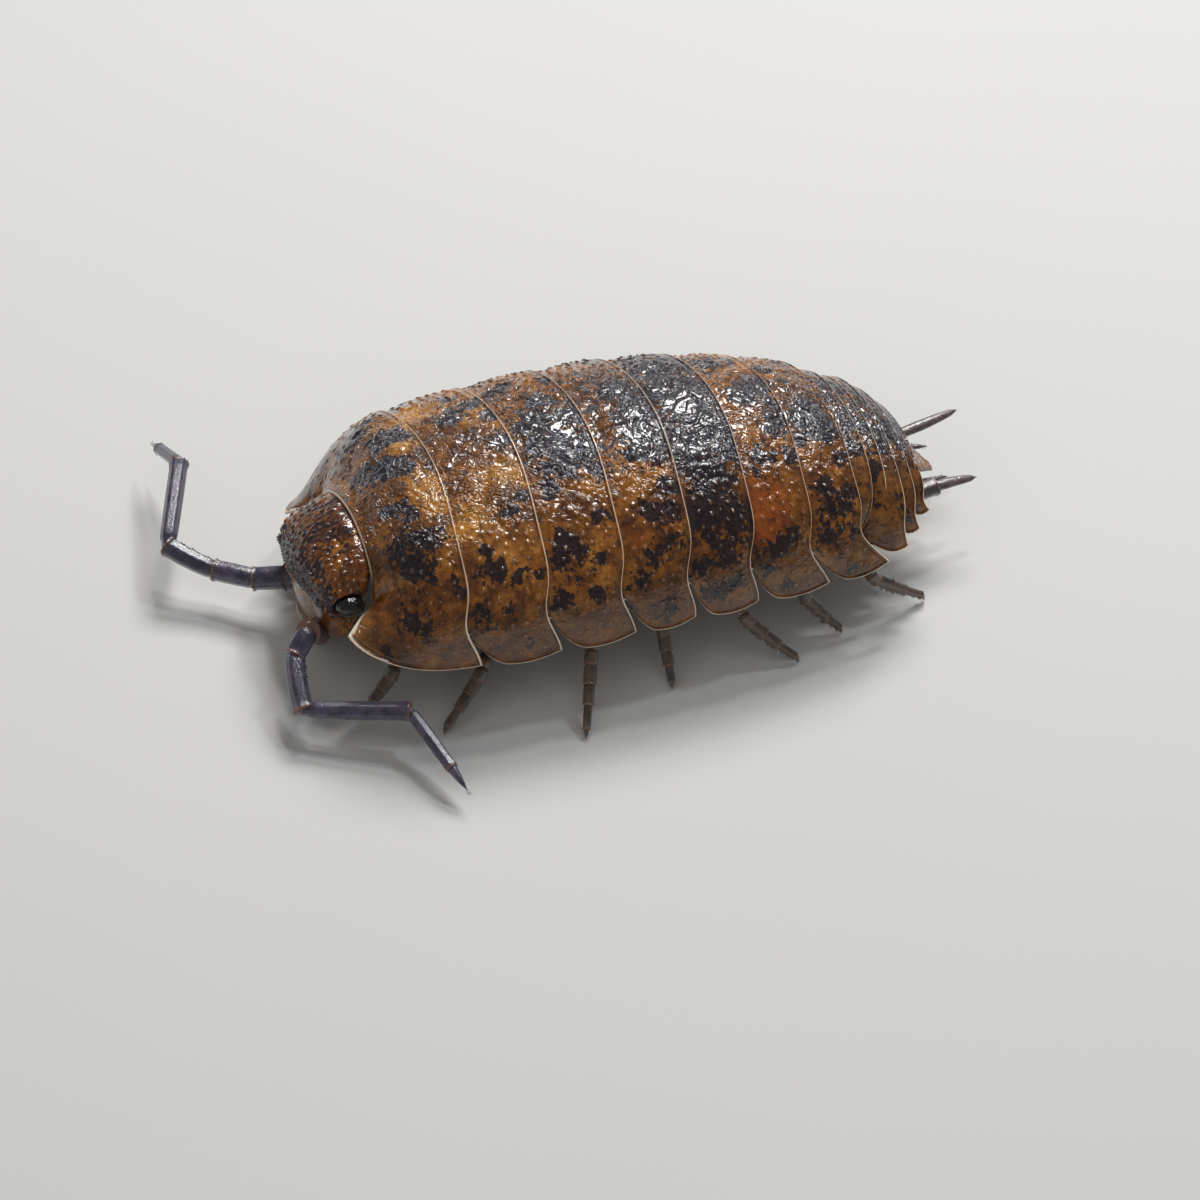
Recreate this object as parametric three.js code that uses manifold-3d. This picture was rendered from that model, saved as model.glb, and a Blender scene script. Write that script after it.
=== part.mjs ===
// A woodlouse, life size: domed body of overlapping shell plates, head with two
// eyes, seven pairs of legs, two elbowed antennae and two tail uropods.
// Units are millimetres. +Z is up, the head points along -Y and the animal's
// left side is +X. The feet stand on small flats at z = 0.
import * as THREE from 'three';
import { mergeVertices } from 'three/addons/utils/BufferGeometryUtils.js';
import Module from 'manifold-3d';

const wasm = await Module();
wasm.setup();
const { Manifold, Mesh } = wasm;

// ---------------------------------------------------------------- main sizes
const PITCH = 3.5 * Math.PI / 180; // the trunk is drawn in its own axes, then tipped tail-down by this
const LIFT = 0.6;                  // height of the trunk axes over the floor
const GAP = 0.05;                  // clearance between neighbouring plates
const STEP = 0.09;                 // how far a rear margin stands over the plate behind it
const PLATE = 0.42;                // thickness of the side lobes (epimera)
const ARCH = 0.942;                // roundness exponent of the back
const HALF_SIDES = 9;             // facets from the ridge to one side edge
const BEND = 0.0069;               // the body bows very slightly to its left (per mm)
const TWIST = 0.10;                // the head end rolls by this slope, left side up

// rear margin of each plate: ridge station y, ridge height, half width,
// height of the side edge, backward sweep of the side corner
const TRUNK = [
  { y: -5.343, top: 3.64, half: 4.06, edge: 0.75, sweep: 0.18 },
  { y: -3.457, top: 3.92, half: 4.16, edge: 0.88, sweep: 0.19 },
  { y: -1.664, top: 4.13, half: 4.17, edge: 1.07, sweep: 0.18 },
  { y: 0.0, top: 4.25, half: 4.09, edge: 1.20, sweep: -0.02 },
  { y: 1.585, top: 4.25, half: 3.93, edge: 1.27, sweep: -0.02 },
  { y: 3.05, top: 4.11, half: 3.68, edge: 1.37, sweep: 0.36 },
  { y: 4.377, top: 3.86, half: 3.34, edge: 1.545, sweep: 0.61 },
];
const PLEON = [
  { y: 4.78, top: 3.74, half: 2.62, edge: 1.95, sweep: -0.30, lobe: 0 },
  { y: 5.18, top: 3.60, half: 2.50, edge: 1.92, sweep: -0.22, lobe: 0 },
  { y: 5.58, top: 3.42, half: 2.84, edge: 1.56, sweep: 0.24, lobe: 1 },
  { y: 5.98, top: 3.18, half: 2.44, edge: 1.74, sweep: 0.26, lobe: 1 },
  { y: 6.36, top: 2.86, half: 1.98, edge: 1.90, sweep: 0.30, lobe: 1 },
];
const HEAD = { half: 1.88, rearY: -7.32, rearZ: 2.36, frontY: -8.52, frontZ: 1.12, chinZ: -0.22 };
const SADDLE = 1.94;               // half width of the notch in the first plate that takes the head
const SADDLE_Z = 1.20;
const LOBE_TIP = { x: 2.66, y: -8.03, z: 0.92 };
const FAR_TIP = { x: 2.60, y: -7.84, z: 0.92 };  // the right lobe is drawn in a little
const EYE = { x: 1.77, y: -7.70, z: 1.11, rx: 0.32, ry: 0.38, rz: 0.28 };
const TELSON = { baseY: 6.45, tipY: 7.34, half: 1.12, tipHalf: 0.16, baseZ: 2.80, tipZ: 1.66, thick: 0.46 };

// antenna joints in the standing frame, base to tip, with the radius at each
const ANTENNA_L = [[1.45, -8.05, 1.12, .30], [2.10, -8.55, 1.72, .30], [2.42, -8.95, 1.40, .27], [3.62, -9.10, .80, .27], [4.64, -6.96, 1.10, .26], [6.23, -6.50, .65, .25], [6.95, -6.30, .42, .24]];
const ANTENNA_R = [[-0.60, -8.15, 1.10, .30], [-0.95, -8.88, 0.94, .30], [-1.54, -9.64, .90, .27], [-2.33, -10.55, 1.20, .27], [-4.51, -9.64, 1.80, .26], [-5.90, -9.72, 1.20, .25], [-6.54, -9.74, .92, .24]];

// uropods in the standing frame: root, branch point, tip
const UROPOD_L = [[1.22, 6.62, 1.72, .27], [1.05, 7.20, 1.70, .29], [0.98, 7.70, 1.70, .27], [0.95, 8.32, 1.68, .20]];
const UROPOD_R = [[-1.10, 6.62, 1.72, .27], [-1.02, 7.20, 1.72, .29], [-1.22, 7.95, 1.76, .27], [-1.46, 8.85, 1.80, .20]];

// legs: trunk plate, then knee and foot in the standing frame (left side; the
// right side mirrors it and steps forward or back by the last number)
const LEGS = [
  { seg: 0, knee: [2.95, -6.85, 1.15], foot: [3.20, -7.70], step: 0.25 },
  { seg: 1, knee: [3.75, -5.00, 1.25], foot: [4.30, -6.05], step: -0.35 },
  { seg: 2, knee: [4.10, -2.50, 1.40], foot: [5.42, -3.03], step: 0.30 },
  { seg: 3, knee: [3.65, -0.60, 1.35], foot: [4.40, -0.55], step: -0.25 },
  { seg: 4, knee: [3.85, 1.30, 1.35], foot: [4.34, 2.59], step: 0.20 },
  { seg: 5, knee: [3.35, 2.95, 1.30], foot: [3.60, 3.95], step: -0.20 },
  { seg: 6, knee: [3.05, 4.75, 1.25], foot: [2.95, 6.30], step: 0.25 },
];
const FOOT_R = 0.27, LEG_R = 0.27;

const COLOR = {
  shell: 0x9c5a1e, shellDark: 0x3a2c2a, head: 0x4a342a, eye: 0x08080a,
  antenna: 0x5a5260, leg: 0x4b3a2c, uropod: 0x5d4a40, under: 0xb59a72,
};

// ---------------------------------------------------------------- helpers
const clamp01 = (v) => Math.min(1, Math.max(0, v));
const smooth = (a, b, v) => { const w = clamp01((v - a) / (b - a)); return w * w * (3 - 2 * w); };
const lerp = (a, b, w) => a + (b - a) * w;

// A closed body from rings of equal length, capped by strips that join ring
// point k to its mirror-side partner (ring = outer row then the inner row back).
function ringBody(rings, cap) {
  const n = rings[0].length, pos = [], idx = [];
  rings.forEach((r) => r.forEach((p) => pos.push(p[0], p[1], p[2])));
  const id = (j, k) => j * n + ((k + n) % n);
  for (let j = 0; j + 1 < rings.length; j++)
    for (let k = 0; k < n; k++)
      idx.push(id(j, k), id(j + 1, k), id(j + 1, k + 1), id(j, k), id(j + 1, k + 1), id(j, k + 1));
  const last = rings.length - 1;
  if (cap === 'strip') {
    const h = n / 2;
    for (let k = 0; k < h - 1; k++) {
      const a = k, b = k + 1, c = n - 2 - k, d = n - 1 - k;
      idx.push(id(0, a), id(0, b), id(0, c), id(0, a), id(0, c), id(0, d));
      idx.push(id(last, a), id(last, c), id(last, b), id(last, a), id(last, d), id(last, c));
    }
  } else {
    for (const [j, flip] of [[0, false], [last, true]]) {
      const c = pos.length / 3, m = [0, 0, 0];
      rings[j].forEach((p) => { m[0] += p[0] / n; m[1] += p[1] / n; m[2] += p[2] / n; });
      pos.push(...m);
      for (let k = 0; k < n; k++)
        flip ? idx.push(c, id(j, k + 1), id(j, k)) : idx.push(c, id(j, k), id(j, k + 1));
    }
  }
  let g = new THREE.BufferGeometry();
  g.setAttribute('position', new THREE.BufferAttribute(new Float32Array(pos), 3));
  g.setIndex(idx);
  g = mergeVertices(g, 1e-5);
  return outward(g);
}

// turn a closed geometry so that its faces point out
function outward(g) {
  const p = g.attributes.position, ix = g.index.array;
  let vol = 0;
  const a = new THREE.Vector3(), b = new THREE.Vector3(), c = new THREE.Vector3();
  for (let i = 0; i < ix.length; i += 3) {
    a.fromBufferAttribute(p, ix[i]); b.fromBufferAttribute(p, ix[i + 1]); c.fromBufferAttribute(p, ix[i + 2]);
    vol += a.dot(b.cross(c));
  }
  if (vol < 0) for (let i = 0; i < ix.length; i += 3) [ix[i], ix[i + 1]] = [ix[i + 1], ix[i]];
  return g;
}

function toSolid(g) {
  const m = g.clone();
  m.deleteAttribute('normal'); m.deleteAttribute('uv');
  const w = m.index ? mergeVertices(m, 1e-5) : mergeVertices(m, 1e-5);
  return new Manifold(new Mesh({ numProp: 3, vertProperties: new Float32Array(w.attributes.position.array), triVerts: new Uint32Array(w.index.array) }));
}
function fromSolid(s) {
  const m = s.getMesh(), n = m.numProp, v = new Float32Array(m.numVert * 3);
  for (let i = 0; i < m.numVert; i++) v.set(m.vertProperties.subarray(i * n, i * n + 3), i * 3);
  return new THREE.BufferGeometry().setAttribute('position', new THREE.BufferAttribute(v, 3)).setIndex([...m.triVerts]);
}

// ---------------------------------------------------------------- margins
// y offset of a rear margin at t = 0 (ridge) .. 1 (side edge): the margin bows
// forward over the flank, dips above the side lobe and runs back to its corner
const marginY = (t, sweep, deep = 1) =>
  sweep * t ** 6 - 0.139 * deep * Math.sin(Math.PI * clamp01(t / 0.92)) ** 2
  - 0.28 * deep * Math.exp(-(((t - 0.80) / 0.13) ** 2));

// a point of plate r's rear margin; in > 0 draws it inwards
function margin(r, t, inset = 0, deep = 1) {
  const s = Math.sign(t) || 1, q = Math.abs(t), f = q * Math.PI / 2;
  const half = r.half - inset, top = r.top - inset;
  return [
    s * half * Math.sin(f) ** ARCH,
    r.y + marginY(q, r.sweep, r.lobe === 0 ? 0 : deep),
    r.edge + (top - r.edge) * Math.cos(f) ** ARCH,
  ];
}

// front margin of the first trunk plate: a saddle round the head, then a lobe
// that reaches forward beside the eye
const CUT = 0.58;
function collar(t) {
  const s = Math.sign(t) || 1, q = Math.abs(t);
  if (q <= CUT) {
    const f = q / CUT * Math.PI / 2;
    return [s * SADDLE * Math.sin(f), HEAD.rearY + GAP, SADDLE_Z + (HEAD.rearZ + STEP - SADDLE_Z) * Math.cos(f)];
  }
  const w = (q - CUT) / (1 - CUT), tip = s > 0 ? LOBE_TIP : FAR_TIP;
  return [s * lerp(SADDLE, tip.x, w), lerp(HEAD.rearY + GAP, tip.y, w ** 1.05), lerp(SADDLE_Z, tip.z, w) + 0.08 * Math.sin(Math.PI * w)];
}

// the slight bow and roll of the whole body
const pose = (p) => [p[0] + BEND * p[1] * p[1], p[1], p[2] + TWIST * p[0] * smooth(5.2, 8.2, -p[1])];

// One plate: outer skin from front margin to rear margin, with a thick core
// under the back and thin side lobes whose front corner is rounded off.
function plate(frontAt, rearAt, o) {
  const rings = [], N = HALF_SIDES, J = o.rows;
  for (let j = 0; j <= J; j++) {
    const v = j / J;
    const reach = o.corner > 0 ? o.start + (1 - o.start) * Math.sqrt(1 - (1 - clamp01(v / o.corner)) ** 2) : 1;
    const outer = [], inner = [];
    for (let k = -N; k <= N; k++) {
      const t = reach * k / N, q = Math.abs(t), s = Math.sign(t) || 1;
      const A = frontAt(t), B = rearAt(t);
      const puff = o.puff * Math.sin(Math.PI * v) * (1 - q ** 4);
      const flank = (o.flank || 0) * Math.sin(Math.PI * v ** (o.early || 1)) * smooth(0.45, 1, q);
      const cheek = (o.cheek || 0) * Math.sin(Math.PI * v ** 0.6) * Math.exp(-(((q - 0.55) / 0.2) ** 2));
      const p = [lerp(A[0], B[0], v) + s * (puff * q + flank), lerp(A[1], B[1], v), lerp(A[2], B[2], v) + puff * (1 - (o.round ?? 0.55) * q) - 0.7 * flank + cheek];
      outer.push(p);
      // under side: flat belly between the legs, then the inner face of the lobe
      const R = o.rear, edge = lerp(frontAt(s)[2], R.edge, v), half = Math.abs(lerp(frontAt(s)[0], rearAt(s)[0], v));
      const top = lerp(frontAt(0)[2], R.top, v);
      const belly = lerp(edge, top, o.belly);
      const w = smooth(o.root[0], o.root[1], q);
      const f = q * Math.PI / 2, nx = Math.sin(f), nz = Math.cos(f) * 0.8 + 0.05;
      const flatX = Math.min(Math.abs(p[0]) * 0.80, half * 0.70);
      const ix = lerp(s * flatX, p[0] - s * o.thick * nx, w);
      const iz = lerp(belly, p[2] - o.thick * nz, w);
      inner.push([ix, p[1], Math.min(iz, p[2] - 0.02)]);
    }
    rings.push([...outer, ...inner.reverse()].map(pose));
  }
  return ringBody(rings, 'strip');
}

// ---------------------------------------------------------------- assembly
const woodlouse = new THREE.Group();
const trunk = new THREE.Group();   // plates and head, in the trunk's own axes
trunk.rotation.x = -PITCH;
trunk.position.z = LIFT;
const stance = new THREE.Group();  // legs, antennae and uropods, in the standing frame
woodlouse.add(trunk, stance);

function add(group, name, geometry, color, roughness = 0.35, metalness = 0) {
  const mesh = new THREE.Mesh(geometry, new THREE.MeshStandardMaterial({ color, roughness, metalness, flatShading: true }));
  mesh.name = name;
  group.add(mesh);
  return mesh;
}
// trunk axes -> standing frame
const stand = ([x, y, z]) => [x, y * Math.cos(PITCH) + z * Math.sin(PITCH), -y * Math.sin(PITCH) + z * Math.cos(PITCH) + LIFT];

// trunk plates
TRUNK.forEach((r, i) => {
  const prev = TRUNK[i - 1];
  const frontAt = i === 0 ? collar : (t) => { const p = margin(prev, t, STEP); return [p[0], p[1] + GAP, p[2]]; };
  add(trunk, `pereonite_${i + 1}`, plate(frontAt, (t) => margin(r, t), {
    rows: i === 0 ? 6 : 4, rear: r, thick: PLATE, puff: i === 0 ? 0.40 : 0.06, round: i === 0 ? 0.2 : 0.55, flank: i === 0 ? 0.46 : 0.13, early: i === 0 ? 0.62 : 1, cheek: i === 0 ? 0.25 : 0, belly: i === 0 ? 0.12 : 0.16,
    root: [0.50, 0.70], corner: i === 0 ? 0 : 0.30, start: 0.84,
  }), i % 2 ? COLOR.shell : COLOR.shellDark);
});

// tail plates
PLEON.forEach((r, i) => {
  const prev = i ? PLEON[i - 1] : TRUNK[6];
  // the front margin keeps to this plate's own width, at the station of the margin before it
  const own = { ...r, y: prev.y + GAP, top: prev.top - STEP, half: r.lobe ? r.half - 0.08 : Math.min(r.half + 0.10, prev.half - 0.2), edge: r.edge + (r.lobe ? 0.02 : 0.05), sweep: i === 2 ? -0.50 : r.lobe ? -0.25 : -0.2 };
  const frontAt = (t) => margin({ ...own, lobe: 0 }, t, 0, 0);
  add(trunk, `pleonite_${i + 1}`, plate(frontAt, (t) => margin(r, t, 0, 0.35), {
    rows: 3, rear: r, thick: 0.40, puff: 0.02, belly: 0.05,
    root: [0.62, 0.84], corner: r.lobe ? 0.28 : 0, start: 0.92, flank: r.lobe ? 0.06 : 0,
  }), COLOR.shellDark);
});

// telson: a short triangular plate, arched across
{
  const rings = [], n = 6, J = 4;
  for (let j = 0; j <= J; j++) {
    const v = j / J, half = lerp(TELSON.half, TELSON.tipHalf, v ** 0.85), top = lerp(TELSON.baseZ, TELSON.tipZ, v ** 0.9), rise = 0.42 * (1 - v) + 0.08;
    const up = [], down = [];
    for (let k = -n; k <= n; k++) {
      const f = (k / n) * Math.PI / 2, x = half * Math.sin(f), z = top - rise * (1 - Math.cos(f));
      up.push([x, lerp(TELSON.baseY, TELSON.tipY, v), z]);
      down.push([x * 0.9, lerp(TELSON.baseY, TELSON.tipY, v), z - TELSON.thick]);
    }
    rings.push([...up, ...down.reverse()].map(pose));
  }
  add(trunk, 'telson', ringBody(rings, 'strip'), COLOR.shellDark);
}

// head: profiles from cheek to cheek, each running from the nape over the crown
// and the frontal ridge to the chin
const headFront = (q) => HEAD.frontY + 0.38 * q * q - 0.05 * Math.exp(-((q / 0.30) ** 2)) - 0.10 * Math.exp(-(((q - 0.80) / 0.14) ** 2));
function headProfile(x) {
  const q = Math.min(1, Math.abs(x) / HEAD.half), nape = Math.asin(Math.min(1, Math.abs(x) / SADDLE)) / (Math.PI / 2);
  const yr = HEAD.rearY, zr = 1.34 + (HEAD.rearZ - 1.34) * Math.cos(nape * Math.PI / 2);
  const yf = headFront(q), zf = HEAD.frontZ - 0.12 * q * q, chin = HEAD.chinZ + 0.25 * q * q;
  const pts = [
    [yr, chin + 0.20], [yr, 0.75], [yr, zr],
    [lerp(yr, yf, 0.30) - 0.02, lerp(zr, zf, 0.30) + 0.22], [lerp(yr, yf, 0.62) - 0.10, lerp(zr, zf, 0.62) + 0.31], [lerp(yr, yf, 0.88) - 0.09, lerp(zr, zf, 0.88) + 0.22],
    [yf - 0.02, zf], [yf + 0.10, zf - 0.20], [yf + 0.16, zf - 0.60], [yf + 0.42, chin + 0.06], [yf + 0.80, chin],
  ];
  const c = [-7.80, 0.85], f = (1 - q ** 7) ** (1 / 3.2);
  return pts.map(([y, z]) => [x, lerp(c[0], y, f), lerp(c[1], z, f)]);
}
const headStations = [-0.985, -0.93, -0.84, -0.72, -0.56, -0.38, -0.19, 0, 0.19, 0.38, 0.56, 0.72, 0.84, 0.93, 0.985];
const headRings = headStations.map((q) => {
  const curve = new THREE.CatmullRomCurve3(headProfile(q * HEAD.half).map((p) => new THREE.Vector3(...p)), true, 'catmullrom', 0.35);
  return curve.getPoints(22).slice(0, 22).map((p) => pose([p.x, p.y, p.z]));
});
let head = toSolid(ringBody(headRings, 'fan'));
const ellipsoid = (c, r, w, h) => { const g = new THREE.SphereGeometry(1, w, h); g.scale(...r); g.translate(...c); g.deleteAttribute('normal'); g.deleteAttribute('uv'); return outward(mergeVertices(g, 1e-5)); };
for (const [side, name] of [[1, 'eye_left'], [-1, 'eye_right']]) {
  const c = pose([side * EYE.x, EYE.y, EYE.z]);
  add(trunk, name, ellipsoid(c, [EYE.rx, EYE.ry, EYE.rz], 14, 9), COLOR.eye, 0.1);
  head = head.subtract(toSolid(ellipsoid(c, [EYE.rx + 0.03, EYE.ry + 0.03, EYE.rz + 0.03], 14, 9)));
}
add(trunk, 'head', fromSolid(head), COLOR.head);

// mouthparts: a blunt cone of closed jaws under the chin
{
  const rings = [0, 0.35, 0.7, 1].map((v) => Array.from({ length: 12 }, (_, k) => {
    const f = k / 12 * 2 * Math.PI, r = Math.sqrt(1 - 0.75 * v * v);
    return pose([0.86 * r * Math.cos(f), -7.86 - 0.10 * v + 0.34 * r * Math.sin(f), HEAD.chinZ - 0.09 - 0.42 * v]);
  }));
  add(trunk, 'mouthparts', ringBody(rings, 'fan'), COLOR.under);
}

// a limb: tapered tube through joints [x, y, z, radius], swollen a little just
// before each joint and pinched at it; sides = facets round it
function limb(joints, sides, pinch = 0.86, between = [[0.16, 1], [0.86, 1.04]]) {
  const stations = [];
  joints.forEach((j, i) => {
    if (i) {
      const p = joints[i - 1];
      for (const [w, k] of between) stations.push([...[0, 1, 2].map((m) => lerp(p[m], j[m], w)), lerp(p[3], j[3], w) * k]);
    }
    stations.push([j[0], j[1], j[2], j[3] * (i && i < joints.length - 1 ? pinch : i ? 0.8 : 1)]);
  });
  const P = stations.map((s) => new THREE.Vector3(s[0], s[1], s[2]));
  let ref = new THREE.Vector3(0.13, 0.21, 1).normalize();
  return stations.map((s, i) => {
    const d = new THREE.Vector3().subVectors(P[Math.min(i + 1, P.length - 1)], P[i]).normalize();
    const e = new THREE.Vector3().subVectors(P[i], P[Math.max(i - 1, 0)]).normalize();
    const dir = d.add(e).normalize();
    const a = new THREE.Vector3().crossVectors(ref, dir).normalize(), b = new THREE.Vector3().crossVectors(dir, a).normalize();
    ref = b.clone();
    return Array.from({ length: sides }, (_, k) => {
      const f = k / sides * 2 * Math.PI, q = P[i].clone().addScaledVector(a, s[3] * Math.cos(f)).addScaledVector(b, s[3] * Math.sin(f));
      return [q.x, q.y, q.z];
    });
  });
}

// antennae: two short base articles, three longer ones and a two-part flagellum
const unstand = ([x, y, z]) => { z -= LIFT; return [x, y * Math.cos(PITCH) - z * Math.sin(PITCH), y * Math.sin(PITCH) + z * Math.cos(PITCH)]; };
const headClear = head.translate([0, 7.85, -0.9]).scale([1.045, 1.06, 1.05]).translate([0, -7.85, 0.9]);
for (const [name, joints] of [['antenna_left', ANTENNA_L], ['antenna_right', ANTENNA_R]]) {
  const rings = limb(joints, 8).map((r) => r.map(unstand));
  const parts = toSolid(ringBody(rings, 'fan')).subtract(headClear).decompose();
  parts.sort((a, b) => b.volume() - a.volume());
  add(trunk, name, fromSolid(parts[0]), COLOR.antenna);
}
for (const [name, joints] of [['uropod_left', UROPOD_L], ['uropod_right', UROPOD_R]])
  add(stance, name, ringBody(limb(joints, 8, 1), 'fan'), COLOR.uropod);

// pleopods: the stack of flat gill covers under the tail
{
  const rings = [0, 0.2, 0.5, 0.8, 1].map((v) => Array.from({ length: 12 }, (_, k) => {
    const f = k / 12 * 2 * Math.PI, w = lerp(1.45, 0.75, v) * (v === 0 ? 0.9 : 1);
    return pose([w * Math.cos(f), lerp(4.55, 6.45, v), 1.36 + 0.20 * v + 0.24 * Math.sin(f)]);
  }));
  add(trunk, 'pleopods', ringBody(rings, 'fan'), COLOR.under);
}

// legs: hip under the plate, knee out past the side lobe, foot flat on the floor
LEGS.forEach((leg, i) => {
  const r = TRUNK[leg.seg], prev = leg.seg ? TRUNK[leg.seg - 1] : { y: -7.0, top: 2.6, half: 3.0, edge: 1.0 };
  const v = leg.seg === 0 ? 0.60 : 0.55;
  const y0 = lerp(prev.y, r.y, v), edge = lerp(prev.edge, r.edge, v), top = lerp(prev.top - STEP, r.top, v);
  const belly = lerp(edge, top, leg.seg === 0 ? 0.12 : 0.16) - 0.07;
  for (const side of [1, -1]) {
    const dy = side > 0 ? 0 : leg.step;
    const hipX = side * lerp(prev.half, r.half, v) * 0.46 + BEND * y0 * y0;
    const knee = [side * leg.knee[0] + BEND * y0 * y0, leg.knee[1] + dy * 0.5, leg.knee[2]];
    const foot = [side * leg.foot[0] + BEND * y0 * y0, leg.foot[1] + dy, 0];
    const hip = stand([hipX, y0, belly - TWIST * 0.9 * Math.abs(hipX) * smooth(5.2, 8.2, -y0)]);
    const a = [lerp(hip[0], knee[0], 0.30), lerp(hip[1], knee[1], 0.2), hip[2] - 0.42];
    const b = [lerp(knee[0], foot[0], 0.12), lerp(knee[1], foot[1], 0.12), knee[2] - 0.22];
    const c = [lerp(knee[0], foot[0], 0.62), lerp(knee[1], foot[1], 0.62), knee[2] * 0.40];
    const d = [lerp(knee[0], foot[0], 0.93), lerp(knee[1], foot[1], 0.93), 0.22];
    const path = [hip, a, knee, b, c, d].map((p, k) => [...p, [0.27, 0.30, 0.27, 0.27, 0.26, 0.26][k]]);
    const rings = limb(path, 7, 0.96, [[0.8, 1.05]]).slice(1);
    // keep each flat ring in step with its neighbour so that the tube doesn't wring
    const inStep = (ring, c0, rad, zAt) => {
      let best = null;
      for (const dir of [1, -1]) for (let k = 0; k < 48; k++) {
        const cand = Array.from({ length: 7 }, (_, m) => { const f = dir * m / 7 * 2 * Math.PI + k / 48 * 2 * Math.PI; const x = c0[0] + rad * Math.cos(f), y = c0[1] + rad * Math.sin(f); return [x, y, zAt(x, y)]; });
        const cost = cand.reduce((s2, p, m) => s2 + (p[0] - ring[m][0]) ** 2 + (p[1] - ring[m][1]) ** 2 + (p[2] - ring[m][2]) ** 2, 0);
        if (!best || cost < best.cost) best = { cost, cand };
      }
      return best.cand;
    };
    const hipRing = inStep(rings[0], hip, 0.30, (x, y) => hip[2] - (y - hip[1]) * Math.tan(PITCH) + 0.02);
    const footRing = inStep(rings[rings.length - 1], foot, FOOT_R, () => 0);
    add(stance, `leg_${side > 0 ? 'left' : 'right'}_${i + 1}`, ringBody([hipRing, ...rings, footRing], 'fan'), COLOR.leg);
  }
});

// put the origin on the floor under the middle of the whole animal
woodlouse.updateMatrixWorld(true);
const box = new THREE.Box3().setFromObject(woodlouse, true), mid = box.getCenter(new THREE.Vector3());
trunk.position.x -= mid.x; trunk.position.y -= mid.y;
stance.position.x -= mid.x; stance.position.y -= mid.y;
woodlouse.userData.offset = [-mid.x, -mid.y, 0];

export default woodlouse;
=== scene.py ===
# Woodlouse: a still, life-size model, in metres, standing on z = 0.
import math

import bpy
import numpy as np
from mathutils import Matrix, Vector


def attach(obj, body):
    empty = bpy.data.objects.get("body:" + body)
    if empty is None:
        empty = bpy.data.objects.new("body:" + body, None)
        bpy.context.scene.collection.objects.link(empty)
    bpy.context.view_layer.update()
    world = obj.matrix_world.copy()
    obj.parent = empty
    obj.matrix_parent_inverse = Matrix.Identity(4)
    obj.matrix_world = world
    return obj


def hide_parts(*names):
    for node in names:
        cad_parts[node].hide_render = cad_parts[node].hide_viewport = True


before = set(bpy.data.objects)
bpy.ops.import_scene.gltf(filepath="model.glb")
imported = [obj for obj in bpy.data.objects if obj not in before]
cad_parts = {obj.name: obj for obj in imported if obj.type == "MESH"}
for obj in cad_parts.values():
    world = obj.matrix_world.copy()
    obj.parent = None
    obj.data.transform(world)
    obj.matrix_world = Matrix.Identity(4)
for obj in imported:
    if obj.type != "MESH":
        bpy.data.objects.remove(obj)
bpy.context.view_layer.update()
MM = 0.001

# ------------------------------------------------------------------ sizes, mm
# The body is drawn in trunk axes (head towards -Y, left side +X), then given
# its slight bow and roll, tipped tail-down and lifted to stand on its feet.
PITCH = math.radians(3.5)
LIFT = 0.6
SHIFT = (-0.20157885551452637, 0.9409961079059457)
GAP, STEP, ARCH = 0.05, 0.09, 0.942
BEND, TWIST = 0.0069, 0.10
#        ridge y, ridge z, half width, side edge z, corner sweep, side lobe
TRUNK = [(-5.343, 3.64, 4.06, 0.75, 0.18, 1), (-3.457, 3.92, 4.16, 0.88, 0.19, 1), (-1.664, 4.13, 4.17, 1.07, 0.18, 1),
         (0.0, 4.25, 4.09, 1.20, -0.02, 1), (1.585, 4.25, 3.93, 1.27, -0.02, 1), (3.05, 4.11, 3.68, 1.37, 0.36, 1),
         (4.377, 3.86, 3.34, 1.545, 0.61, 1)]
PLEON = [(4.78, 3.74, 2.62, 1.95, -0.30, 0), (5.18, 3.60, 2.50, 1.92, -0.22, 0), (5.58, 3.42, 2.84, 1.56, 0.24, 1),
         (5.98, 3.18, 2.44, 1.74, 0.26, 1), (6.36, 2.86, 1.98, 1.90, 0.30, 1)]
PLATES = TRUNK + PLEON
HEAD = dict(half=1.88, rearY=-7.32, rearZ=2.36, frontY=-8.52, frontZ=1.12, chinZ=-0.22)
SADDLE, SADDLE_Z = 1.94, 1.20
LOBE_TIP, FAR_TIP = (2.66, -8.03, 0.92), (2.60, -7.84, 0.92)
EYE = (1.77, -7.70, 1.11, 0.32, 0.38, 0.28)
CUT = 0.58
TELSON = dict(baseY=6.45, tipY=7.34, half=1.12, tipHalf=0.16, baseZ=2.80, tipZ=1.66, thick=0.46)

ANTENNA_L = [[1.45, -8.05, 1.12], [2.10, -8.55, 1.72], [2.42, -8.95, 1.40], [3.62, -9.10, .80], [4.64, -6.96, 1.10], [6.23, -6.50, .65], [6.95, -6.30, .42]]
ANTENNA_R = [[-0.60, -8.15, 1.10], [-0.95, -8.88, .94], [-1.54, -9.64, .90], [-2.33, -10.55, 1.20], [-4.51, -9.64, 1.80], [-5.90, -9.72, 1.20], [-6.54, -9.74, .92]]
UROPOD_L = [[1.22, 6.62, 1.72], [1.05, 7.20, 1.70], [.98, 7.70, 1.70], [.95, 8.32, 1.68]]
UROPOD_R = [[-1.10, 6.62, 1.72], [-1.02, 7.20, 1.72], [-1.22, 7.95, 1.76], [-1.46, 8.85, 1.80]]
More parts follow.
